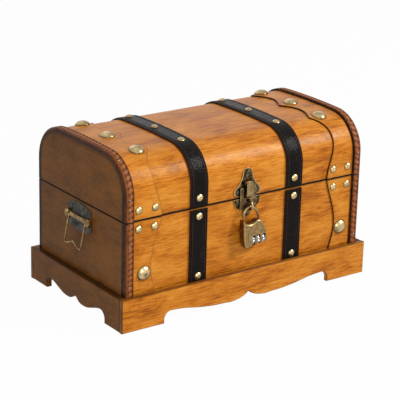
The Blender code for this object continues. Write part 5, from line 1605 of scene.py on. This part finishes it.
def make_hasp(easing):
    """The swinging strap with its fork: two prongs, a bridge and two upright ears, with a cranked
    strap and a knuckle round the pin."""
    far = math.dist((HASP_Y, HASP_Z), (STAPLE_Y, STAPLE_Z)) - STAPLE_RING - STAPLE_WIRE
    slot_top = HASP_Z - far + FORK_CLEARANCE
    bridge = slot_top + FORK_BRIDGE
    radius = FORK_EAR_WIDTH / 2
    ear = arc((FORK_HALF - radius, LID_UNDERSIDE + FORK_EAR_HEIGHT - radius), radius, 0, math.pi, 14)
    tips = np.array([(FORK_HALF * x, LID_UNDERSIDE - FORK_REACH * z) for x, z in FORK_TIP_SHARES])
    tips[0, 0] = FORK_SLOT / 2
    right = [(0, slot_top), (FORK_SLOT / 2, slot_top)]
    inner = [(FORK_HALF - FORK_EAR_WIDTH, bridge), (0, bridge)]
    outline = mirrored(np.vstack([right, catmull(tips, 4), ear, inner]))
    back = -(PLATE_FACE + FORK_CLEARANCE)
    front = back - HASP_METAL
    fork, fork_near = slab("Y", outline, front, back, easing, easing)
    face = -(PLATE_FACE + HASP_STANDOFF)
    bend = LID_UNDERSIDE + HASP_BEND
    middle = (front + back) / 2
    strap = [
        (HASP_Y, HASP_Z + HASP_METAL),
        (face, HASP_Z + HASP_METAL),
        (face, bend),
        (front, bridge - FORK_CLEARANCE),
        (middle, (bridge + slot_top) / 2),
        (middle, bridge - SEAT),
        (face + HASP_METAL, bend + FORK_CLEARANCE),
        (face + HASP_METAL, HASP_Z),
        (HASP_Y, HASP_Z),
    ]
    bar, bar_near = slab("X", strap, -HASP_HALF_WIDTH, HASP_HALF_WIDTH, easing, easing)
    circle = arc((HASP_Y, HASP_Z), HASP_KNUCKLE, 0, math.tau, 24)[:-1]
    knuckle, knuckle_near = slab("X", circle, -HASP_HALF_WIDTH, HASP_HALF_WIDTH, easing / 2, easing / 2)
    shape = joined([ringed(fork), ringed(bar), ringed(knuckle)])
    kinds = ((fork_near, FORK_WEAR), (bar_near, BAR_WEAR), (knuckle_near, KNUCKLE_WEAR))
    worn = np.concatenate([np.maximum(mark, least).ravel() for mark, least in kinds])
    add_piece("latch_strap", "hasp", "dark_bronze", shape, ("latch_hasp",), wear=worn)


def make_latch_screws(sizes):
    """A screw in each hole of the two latch plates."""
    head = screw_head(sizes)
    foot = BOX_TOP - LOWER_PLATE_HEIGHT
    upper = (UPPER_PLATE_HALF, UPPER_PLATE_START, UPPER_PLATE_HEIGHT)
    lower = (LOWER_PLATE_HALF, foot, LOWER_PLATE_HEIGHT)
    rows = (
        ("latch_bell_screws", "lid", lid_face, upper, UPPER_SCREW_SHARES),
        ("latch_foot_screws", "chest", box_face(-1), lower, LOWER_SCREW_SHARES),
    )
    for name, body, face, (half, start, height), shares in rows:
        across, rise, turns = np.array(shares).T
        feet, axes = stand_on(face, half * across, start + height * rise, PLATE_TOP)
        add_screws(name, body, head, feet, axes, turns, LATCH_SCREW_GLAZE)


def make_padlock(sizes):
    """The lopsided shackle, the bevelled body with its slots, and the dials with their figures."""
    left_radii = (SHACKLE_SHIFT - LEFT_LEG, SHACKLE_LEFT_DROP)
    right_radii = (RIGHT_LEG - SHACKLE_SHIFT, SHACKLE_RIGHT_DROP)
    left = arc((SHACKLE_SHIFT, SHACKLE_Z - SHACKLE_LEFT_DROP), left_radii, math.pi, math.pi / 2, 18)
    right = arc((SHACKLE_SHIFT, SHACKLE_Z - SHACKLE_RIGHT_DROP), right_radii, math.pi / 2, 0, 24)
    lock_top = LOCK_HIGH.z
    ends = [(LEFT_LEG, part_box("lock_shackle")[0].z)], [(RIGHT_LEG, lock_top - LOCK_LEG_DEPTH)]
    flat = np.vstack([ends[0], left, right[1:], ends[1]])
    path = np.stack([flat[:, 0], np.full(len(flat), SHACKLE_Y), flat[:, 1]], axis=1)
    rings = wire(path, (0, 1, 0), SHACKLE_WIRE)
    worn = np.clip((rings[..., 2] - lock_top) / SHACKLE_WEAR_HEIGHT, 0, 1) * SHACKLE_WEAR
    add_piece("lock_bow", "shackle", "lock_bronze", ringed(rings), ("lock_shackle",), wear=worn)
    make_lock_case()
    for number in (1, 2, 3):
        make_dial(sizes, number)
    dress("steel_pin", "lock_spindle")


def make_lock_case():
    """A cushion-edged casting with a slot for each dial, open below, and a groove down its left
    side."""
    low, high = LOCK_LOW, LOCK_HIGH
    size = np.array((high.x - low.x, high.z - low.z))
    outline = catmull(np.array(LOCK_SHARES) * size + (low.x, low.z), 4, closed=True)
    front = low.y - MIDDLE_Y
    back = high.y - MIDDLE_Y
    rings, _ = slab("Y", outline, front, back, LOCK_ROUNDING, LOCK_ROUNDING)
    cutters = []
    for number in (1, 2, 3):
        dial_low, dial_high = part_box(f"lock_dial_{number}")
        wide = (dial_low.x - DIAL_SLOT_PLAY, dial_high.x + DIAL_SLOT_PLAY)
        deep = (front - SLOT_HEADROOM, back + SLOT_HEADROOM)
        tall = (low.z - SLOT_HEADROOM, dial_high.z + SLOT_HEADROOM)
        cutters.append(box_shape(wide, deep, tall))
    groove = low.x + size[0] * LOCK_GROOVE_SHARE
    wide = (groove, groove + LOCK_GROOVE_WIDTH)
    deep = (front - SLOT_HEADROOM, front + LOCK_GROOVE_DEPTH)
    tall = [low.z + size[1] * share for share in LOCK_GROOVE_RISE_SHARES]
    cutters.append(box_shape(wide, deep, tall))
    points, faces = cut(object_of("lock_blank", ringed(rings)), cutters)
    depth = np.minimum(points[:, 1] - front, back - points[:, 1])
    place, reach = [LOCK_ROUNDING * share for share in LOCK_WEAR_SHARES]
    worn = hump(depth - place, reach) * (depth < LOCK_ROUNDING) * LOCK_WEAR
    add_piece("lock_case", "lock", "lock_bronze", (points, faces), ("lock_body",), wear=worn)


def box_shape(x, y, z):
    """A box from its two ends on each axis."""
    ring = ((x[0], y[0]), (x[1], y[0]), (x[1], y[1]), (x[0], y[1]))
    return ringed(np.array([[(*corner, height) for corner in ring] for height in z]))


def make_dial(sizes, number):
    """A wheel with a groove between each two of its ten figures, which stand round its rim."""
    low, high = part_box(f"lock_dial_{number}")
    radius = (high.z - low.z) / 2
    x = (low.x + high.x) / 2
    y = (low.y + high.y) / 2 - MIDDLE_Y
    z = (low.z + high.z) / 2
    angles = np.linspace(0, math.tau, DIAL_POINTS, endpoint=False)
    from_groove = np.abs((angles * DIAL_FIGURES / math.tau + 0.5) % 1 - 0.5)
    groove = np.clip(1 - from_groove / DIAL_GROOVE_SHARE, 0, 1)
    reach = radius - DIAL_PLAY - DIAL_GROOVE_DEPTH * groove
    outline = np.stack([y + reach * np.cos(angles), z + reach * np.sin(angles)], axis=1)
    easing = sizes.metal_easing
    rings, _ = slab("X", outline, low.x, high.x, easing, easing)
    # The wheel's side faces are painted dark, as the shade in the lock's slot
    from_side = np.minimum(rings[..., 0] - low.x, high.x - rings[..., 0])
    sides = (from_side < easing / 4) * 1.0
    body = f"dial_{number}"
    replaced = (f"lock_dial_{number}",)
    add_piece(f"lock_wheel_{number}", body, "dial_chrome", ringed(rings), replaced, glaze=sides)
    out = radius - FIGURE_SUNK
    wrapped = []
    for digit in range(DIAL_FIGURES):
        points, faces = figure(sizes, str(digit))
        turn = (digit + 0.5) * math.tau / DIAL_FIGURES + points[:, 1] / radius
        place = [x + points[:, 0], y - out * np.cos(turn), z + out * np.sin(turn)]
        wrapped.append((np.stack(place, axis=1), faces))
    add_sheet(f"lock_figures_{number}", body, "figure_ink", joined(wrapped))


def figure(sizes, text):
    """One figure as a flat mesh about its middle, from Blender's own font."""
    curve = bpy.data.curves.new("figure", "FONT")
    curve.body = text
    curve.align_x = "CENTER"
    curve.align_y = "CENTER"
    curve.size = sizes.figure_height / FIGURE_SIZE_SHARE
    curve.resolution_u = 2
    shape = shape_of(placed("figure", curve))
    bpy.data.curves.remove(curve)
    return shape


def handle_outline():
    """The plate's outline: an arc above, with its chord and bulge, and its mirror image below."""
    radius = (HANDLE_HALF**2 + HANDLE_BULGE**2) / (2 * HANDLE_BULGE)
    half_angle = math.asin(HANDLE_HALF / radius)
    drop = radius - HANDLE_BULGE - HANDLE_SIDE_HALF
    upper = arc((0, HANDLE_Z - drop), radius, math.pi / 2 - half_angle, math.pi / 2 + half_angle, 24)
    lower = np.stack([upper[::-1, 0], 2 * HANDLE_Z - upper[::-1, 1]], axis=1)
    return np.vstack([upper, lower])


def make_handles(sizes):
    """On each end a plate with arched edges, screws, a cast saddle and a wire bail."""
    eased = sizes.metal_easing * PLATE_EASING_SHARE
    outline = handle_outline()
    head = screw_head(sizes)
    half_height = HANDLE_SIDE_HALF + HANDLE_BULGE
    across, rise, turns = np.array(HANDLE_SCREW_SHARES).T
    for hand, side in HANDS:
        far_x = HALF_LENGTH + PLATE_TOP
        low, high = sorted((side * (HALF_LENGTH + SEAT), side * far_x))
        easings = (eased, SEAT / 2) if side < 0 else (SEAT / 2, eased)
        rings, near = slab("X", outline, low, high, *easings)
        part = f"handle_{hand}_"
        replaced = (f"handle_plate_{hand}",)
        add_piece(part + "plate", "chest", "grey_bronze", ringed(rings), replaced, wear=near)
        x = np.full(len(turns), side * far_x)
        feet = np.stack([x, HANDLE_HALF * across, HANDLE_Z + half_height * rise], axis=1)
        axes = [((0, side, 0), (0, 0, 1), (side, 0, 0))] * len(feet)
        add_screws(part + "screws", "chest", head, feet, axes, turns, HANDLE_SCREW_GLAZE)
        casting = saddle(side)
        # Painted shade on the saddle's lower half, darker towards its bottom
        below = (HANDLE_AXIS_Z - casting[0][:, 2]) / SADDLE_BOSS_HALF_HEIGHT
        shaded = np.clip(SADDLE_PAINTED_SHADE[0] + SADDLE_PAINTED_SHADE[1] * below, 0, 1)
        replaced = (f"handle_saddle_{hand}",)
        add_piece(part + "saddle", "chest", "bright_brass", casting, replaced, glaze=shaded)
        lean = np.array((side * math.sin(BAIL_TILT), 0, -math.cos(BAIL_TILT)))
        bail = ringed(wire(bail_path(side), np.cross(lean, (0, 1, 0)), BAIL_WIRE))
        glaze = BAIL_GLAZE * marks_like([bail])
        replaced = (f"handle_bail_{hand}",)
        add_piece(part + "bail", f"bail_{hand}", "bright_brass", bail, replaced, glaze=glaze)


def saddle(side):
    """A casting that runs along Y with a rounded section, whose depth and height swell into a boss
    at each end and shrink to a web where the bail's legs pass."""
    leg_inner = BAIL_HALF - BAIL_WIRE - SEAT
    bar = np.linspace(-leg_inner, leg_inner, 25)
    web = np.array([leg_inner + SEAT / 2, BOSS_INNER - SEAT / 2])
    boss = BOSS_INNER + (SADDLE_HALF - BOSS_INNER) * (1 - np.cos(np.linspace(0, math.pi, 13))) / 2
    places = np.concatenate([-boss[::-1], -web[::-1], bar, web, boss])
    distance = np.abs(places)
    kinds = [distance <= leg_inner, distance >= BOSS_INNER]
    swell = distance / leg_inner
    way = np.clip((distance - BOSS_INNER) / SADDLE_BOSS_WIDTH, 0, 1)
    round_off = np.sqrt(np.clip(1 - (2 * way - 1) ** 4, SADDLE_END_SHARE, 1))
    waist_depth, waist_height = SADDLE_WAIST_SHARES
    bar_depth = SADDLE_BAR_DEPTH * (waist_depth + (1 - waist_depth) * swell**2)
    bar_half = SADDLE_WEB_HALF_HEIGHT * (waist_height + (1 - waist_height) * swell**3)
    neck = SADDLE_WEB_HALF_HEIGHT * SADDLE_NECK_SHARE
    depth = np.select(kinds, [bar_depth, SADDLE_BOSS_DEPTH * round_off], SADDLE_WEB)
    half = np.select(kinds, [bar_half, SADDLE_BOSS_HALF_HEIGHT * round_off], neck)
    angles = np.linspace(0, math.pi, 17)
    out = np.sin(angles) ** SADDLE_ROUNDNESS[0]
    up = np.cos(angles) * np.abs(np.cos(angles)) ** (SADDLE_ROUNDNESS[1] - 1)
    x = side * (SADDLE_FACE + depth[:, None] * out[None])
    z = HANDLE_AXIS_Z + half[:, None] * up[None]
    y = np.broadcast_to(places[:, None], x.shape)
    return ringed(np.stack([x, y, z], axis=-1))


def bail_path(side):
    """The bail's wire: out of a boss, down its leg, round a corner and along a lower bar that
    rises to a point in its middle, and the same again in mirror image."""
    end = SADDLE_HALF - BAIL_END_SUNK
    upper = arc((BAIL_HALF + BAIL_TURN, BAIL_TURN), BAIL_TURN, -math.pi / 2, -math.pi, 8)
    lower = arc((BAIL_HALF - BAIL_CORNER, BAIL_LENGTH - BAIL_CORNER), BAIL_CORNER, 0, math.pi / 2, 10)
    dips = [(BAIL_HALF * y, BAIL_LENGTH - BAIL_DIP * rise) for y, rise in BAIL_DIP_SHARES]
    half = np.vstack([[(end, 0)], upper, lower, catmull([lower[-1], *dips], 4)[1:]])
    flat = np.vstack([half, half[-2::-1] * (-1, 1)])
    down = flat[:, 1]
    x = side * (HANDLE_AXIS_X + down * math.sin(BAIL_TILT))
    return np.stack([x, flat[:, 0], HANDLE_AXIS_Z - down * math.cos(BAIL_TILT)], axis=1)


def make_hinges(sizes):
    """The hinges keep their CAD shape. Each leaf gets two screws."""
    head = screw_head(sizes)
    rises = (("box", "chest", HINGE_SCREW_RISE_SHARE), ("lid", "lid", 1 - HINGE_SCREW_RISE_SHARE))
    for hand, _ in HANDS:
        dress("steel_pin", f"hinge_pin_{hand}")
        for part, body, rise in rises:
            node = f"hinge_{part}_leaf_{hand}"
            dress("dark_bronze", node)
            low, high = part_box(node)
            height = low.z * (1 - rise) + high.z * rise
            middle = (low.x + high.x) / 2
            spread = (high.x - low.x) * HINGE_SCREW_SPREAD_SHARE
            feet = [(middle - spread, PLATE_FACE, height), (middle + spread, PLATE_FACE, height)]
            axes = [((-1, 0, 0), (0, 0, 1), (0, 1, 0))] * 2
            name = f"hinge_{part}_screws_{hand}"
            add_screws(name, body, head, feet, axes, HINGE_SCREW_TURNS, LATCH_SCREW_GLAZE)


def make_camera():
    """A camera at the photograph's azimuth, elevation and roll, aimed at the chest's middle."""
    azimuth, elevation, roll = CAMERA_AZIMUTH, CAMERA_ELEVATION, CAMERA_ROLL
    back = Vector((
        math.sin(azimuth) * math.cos(elevation),
        -math.cos(azimuth) * math.cos(elevation),
        math.sin(elevation),
    ))
    right = (-back).cross(Vector((0, 0, 1))).normalized()
    up = right.cross(-back)
    turned_right = right * math.cos(roll) + up * math.sin(roll)
    turned_up = up * math.cos(roll) - right * math.sin(roll)
    data = bpy.data.cameras.new("camera")
    data.lens = CAMERA_LENS
    data.sensor_width = SENSOR
    data.clip_end = CAMERA_RANGE
    camera = placed("camera", data)
    turn = Matrix((turned_right, turned_up, back)).transposed().to_4x4()
    camera.matrix_world = Matrix.Translation(Vector(CAMERA_TARGET) + back * CAMERA_DISTANCE) @ turn
    bpy.context.scene.camera = camera


def add_lamp(name, direction, distance, size, energy):
    """A square lamp that stands in a direction from the chest and faces it."""
    data = bpy.data.lights.new(name, "AREA")
    data.size = size
    data.energy = energy
    way = Vector(direction).normalized()
    stand = Matrix.Translation(Vector(CAMERA_TARGET) + way * distance)
    placed(name, data).matrix_world = stand @ way.to_track_quat("Z", "Y").to_matrix().to_4x4()


def seen_factor(tree):
    """One where a camera, glossy or transmission ray looks."""
    path = tree.nodes.new("ShaderNodeLightPath")
    seen = path.outputs["Is Camera Ray"]
    for name in ("Is Glossy Ray", "Is Transmission Ray"):
        either = tree.nodes.new("ShaderNodeMath")
        either.operation = "MAXIMUM"
        tree.links.new(seen, either.inputs[0])
        tree.links.new(path.outputs[name], either.inputs[1])
        seen = either.outputs["Value"]
    return seen


def make_world():
    """A white room that lights softly, and that rays which see it find plain white."""
    world = bpy.data.worlds.new("room")
    world.use_nodes = True
    tree = world.node_tree
    room = tree.nodes["Background"]
    room.inputs["Color"].default_value = (1, 1, 1, 1)
    strength = tree.nodes.new("ShaderNodeMapRange")
    tree.links.new(seen_factor(tree), strength.inputs["Value"])
    strength.inputs["To Min"].default_value = WORLD_LIGHT
    tree.links.new(strength.outputs["Result"], room.inputs["Strength"])
    bpy.context.scene.world = world


def make_floor():
    """A pale floor that is white where it is seen and lit, and keeps the chest's shadow."""
    half = FLOOR_SIZE / 2
    corners = np.array([(-half, -half, 0), (half, -half, 0), (half, half, 0), (-half, half, 0)])
    mesh = mesh_of("floor", (corners, [(0, 1, 2, 3)]))
    material = bpy.data.materials.new("floor_paint")
    material.use_nodes = True
    tree = material.node_tree
    tree.nodes.remove(tree.nodes["Principled BSDF"])
    paint = tree.nodes.new("ShaderNodeBsdfDiffuse")
    paint.inputs["Color"].default_value = (FLOOR_TONE, FLOOR_TONE, FLOOR_TONE, 1)
    glow = tree.nodes.new("ShaderNodeEmission")
    mixed = tree.nodes.new("ShaderNodeMixShader")
    amount = tree.nodes.new("ShaderNodeMath")
    amount.operation = "MULTIPLY"
    tree.links.new(seen_factor(tree), amount.inputs[0])
    amount.inputs[1].default_value = FLOOR_WHITE
    tree.links.new(amount.outputs["Value"], mixed.inputs["Fac"])
    tree.links.new(paint.outputs["BSDF"], mixed.inputs[1])
    tree.links.new(glow.outputs["Emission"], mixed.inputs[2])
    tree.links.new(mixed.outputs["Shader"], tree.nodes["Material Output"].inputs["Surface"])
    mesh.materials.append(material)
    placed("floor", mesh)


class ChestOperator:
    """What the chest's operators share"""

    bl_options = {"REGISTER", "UNDO"}


class CHEST_OT_finishes(ChestOperator, bpy.types.Operator):
    """Make the chest's materials from its colours"""

    bl_idname = "chest.finishes"
    bl_label = "Finishes"

    def execute(self, context):
        make_finishes(context.scene.chest_colours)
        return {"FINISHED"}


class CHEST_OT_stage(ChestOperator, bpy.types.Operator):
    """Set up the floor, the room, the lamps and the camera"""

    bl_idname = "chest.stage"
    bl_label = "Stage"

    def execute(self, context):
        make_world()
        make_floor()
        make_camera()
        add_lamp("key_lamp", *KEY_LAMP)
        add_lamp("fill_lamp", *FILL_LAMP)
        context.scene.view_settings.view_transform = "Standard"
        return {"FINISHED"}


class CHEST_OT_plinth(ChestOperator, bpy.types.Operator):
    """Make the plinth's scrolled boards"""

    bl_idname = "chest.plinth"
    bl_label = "Plinth"

    def execute(self, context):
        make_plinth(context.scene.chest_sizes)
        return {"FINISHED"}


class CHEST_OT_lid(ChestOperator, bpy.types.Operator):
    """Make the lid's curved top and its end boards, and finish the walls"""

    bl_idname = "chest.lid"
    bl_label = "Lid and walls"

    def execute(self, context):
        make_lid(context.scene.chest_sizes)
        return {"FINISHED"}


class CHEST_OT_mouldings(ChestOperator, bpy.types.Operator):
    """Make the carved corner mouldings"""

    bl_idname = "chest.mouldings"
    bl_label = "Mouldings"

    def execute(self, context):
        make_mouldings(context.scene.chest_sizes)
        return {"FINISHED"}


class CHEST_OT_panels(ChestOperator, bpy.types.Operator):
    """Make the thin panels with waved edges"""

    bl_idname = "chest.panels"
    bl_label = "Waved panels"

    def execute(self, context):
        make_panels(context.scene.chest_sizes)
        return {"FINISHED"}


class CHEST_OT_straps(ChestOperator, bpy.types.Operator):
    """Make the stitched leather straps"""

    bl_idname = "chest.straps"
    bl_label = "Straps"

    def execute(self, context):
        make_straps(context.scene.chest_sizes)
        return {"FINISHED"}


class CHEST_OT_nails(ChestOperator, bpy.types.Operator):
    """Make the brass nail heads"""

    bl_idname = "chest.nails"
    bl_label = "Nail heads"

    def execute(self, context):
        make_nails()
        return {"FINISHED"}


class CHEST_OT_latch(ChestOperator, bpy.types.Operator):
    """Make the latch's plates, staple and hasp"""

    bl_idname = "chest.latch"
    bl_label = "Latch"

    def execute(self, context):
        make_latch(context.scene.chest_sizes)
        return {"FINISHED"}


class CHEST_OT_padlock(ChestOperator, bpy.types.Operator):
    """Make the padlock with its shackle and dials"""

    bl_idname = "chest.padlock"
    bl_label = "Padlock"

    def execute(self, context):
        make_padlock(context.scene.chest_sizes)
        return {"FINISHED"}


class CHEST_OT_handles(ChestOperator, bpy.types.Operator):
    """Make the handles on both ends"""

    bl_idname = "chest.handles"
    bl_label = "End handles"

    def execute(self, context):
        make_handles(context.scene.chest_sizes)
        return {"FINISHED"}


class CHEST_OT_hinges(ChestOperator, bpy.types.Operator):
    """Finish the hinges and put in their screws"""

    bl_idname = "chest.hinges"
    bl_label = "Hinges"

    def execute(self, context):
        make_hinges(context.scene.chest_sizes)
        return {"FINISHED"}


OPERATORS = (
    CHEST_OT_finishes,
    CHEST_OT_stage,
    CHEST_OT_plinth,
    CHEST_OT_lid,
    CHEST_OT_mouldings,
    CHEST_OT_panels,
    CHEST_OT_straps,
    CHEST_OT_nails,
    CHEST_OT_latch,
    CHEST_OT_padlock,
    CHEST_OT_handles,
    CHEST_OT_hinges,
)


class CHEST_PT_panel(bpy.types.Panel):
    """Lists the steps that dress the chest"""

    bl_label = "Treasure chest"
    bl_idname = "CHEST_PT_panel"
    bl_space_type = "VIEW_3D"
    bl_region_type = "UI"
    bl_category = "Chest"

    def draw(self, context):
        for operator in OPERATORS:
            self.layout.operator(operator.bl_idname)
        for group in (context.scene.chest_sizes, context.scene.chest_colours):
            box = self.layout.box()
            for name in group.__annotations__:
                box.prop(group, name)


CLASSES = (ChestSizes, ChestColours, *OPERATORS, CHEST_PT_panel)


def register():
    for cls in CLASSES:
        bpy.utils.register_class(cls)
    bpy.types.Scene.chest_sizes = PointerProperty(type=ChestSizes)
    bpy.types.Scene.chest_colours = PointerProperty(type=ChestColours)


def unregister():
    del bpy.types.Scene.chest_colours
    del bpy.types.Scene.chest_sizes
    for cls in reversed(CLASSES):
        bpy.utils.unregister_class(cls)


def main():
    register()
    for operator in OPERATORS:
        group, name = operator.bl_idname.split(".")
        getattr(getattr(bpy.ops, group), name)()


if __name__ == "__main__":
    main()
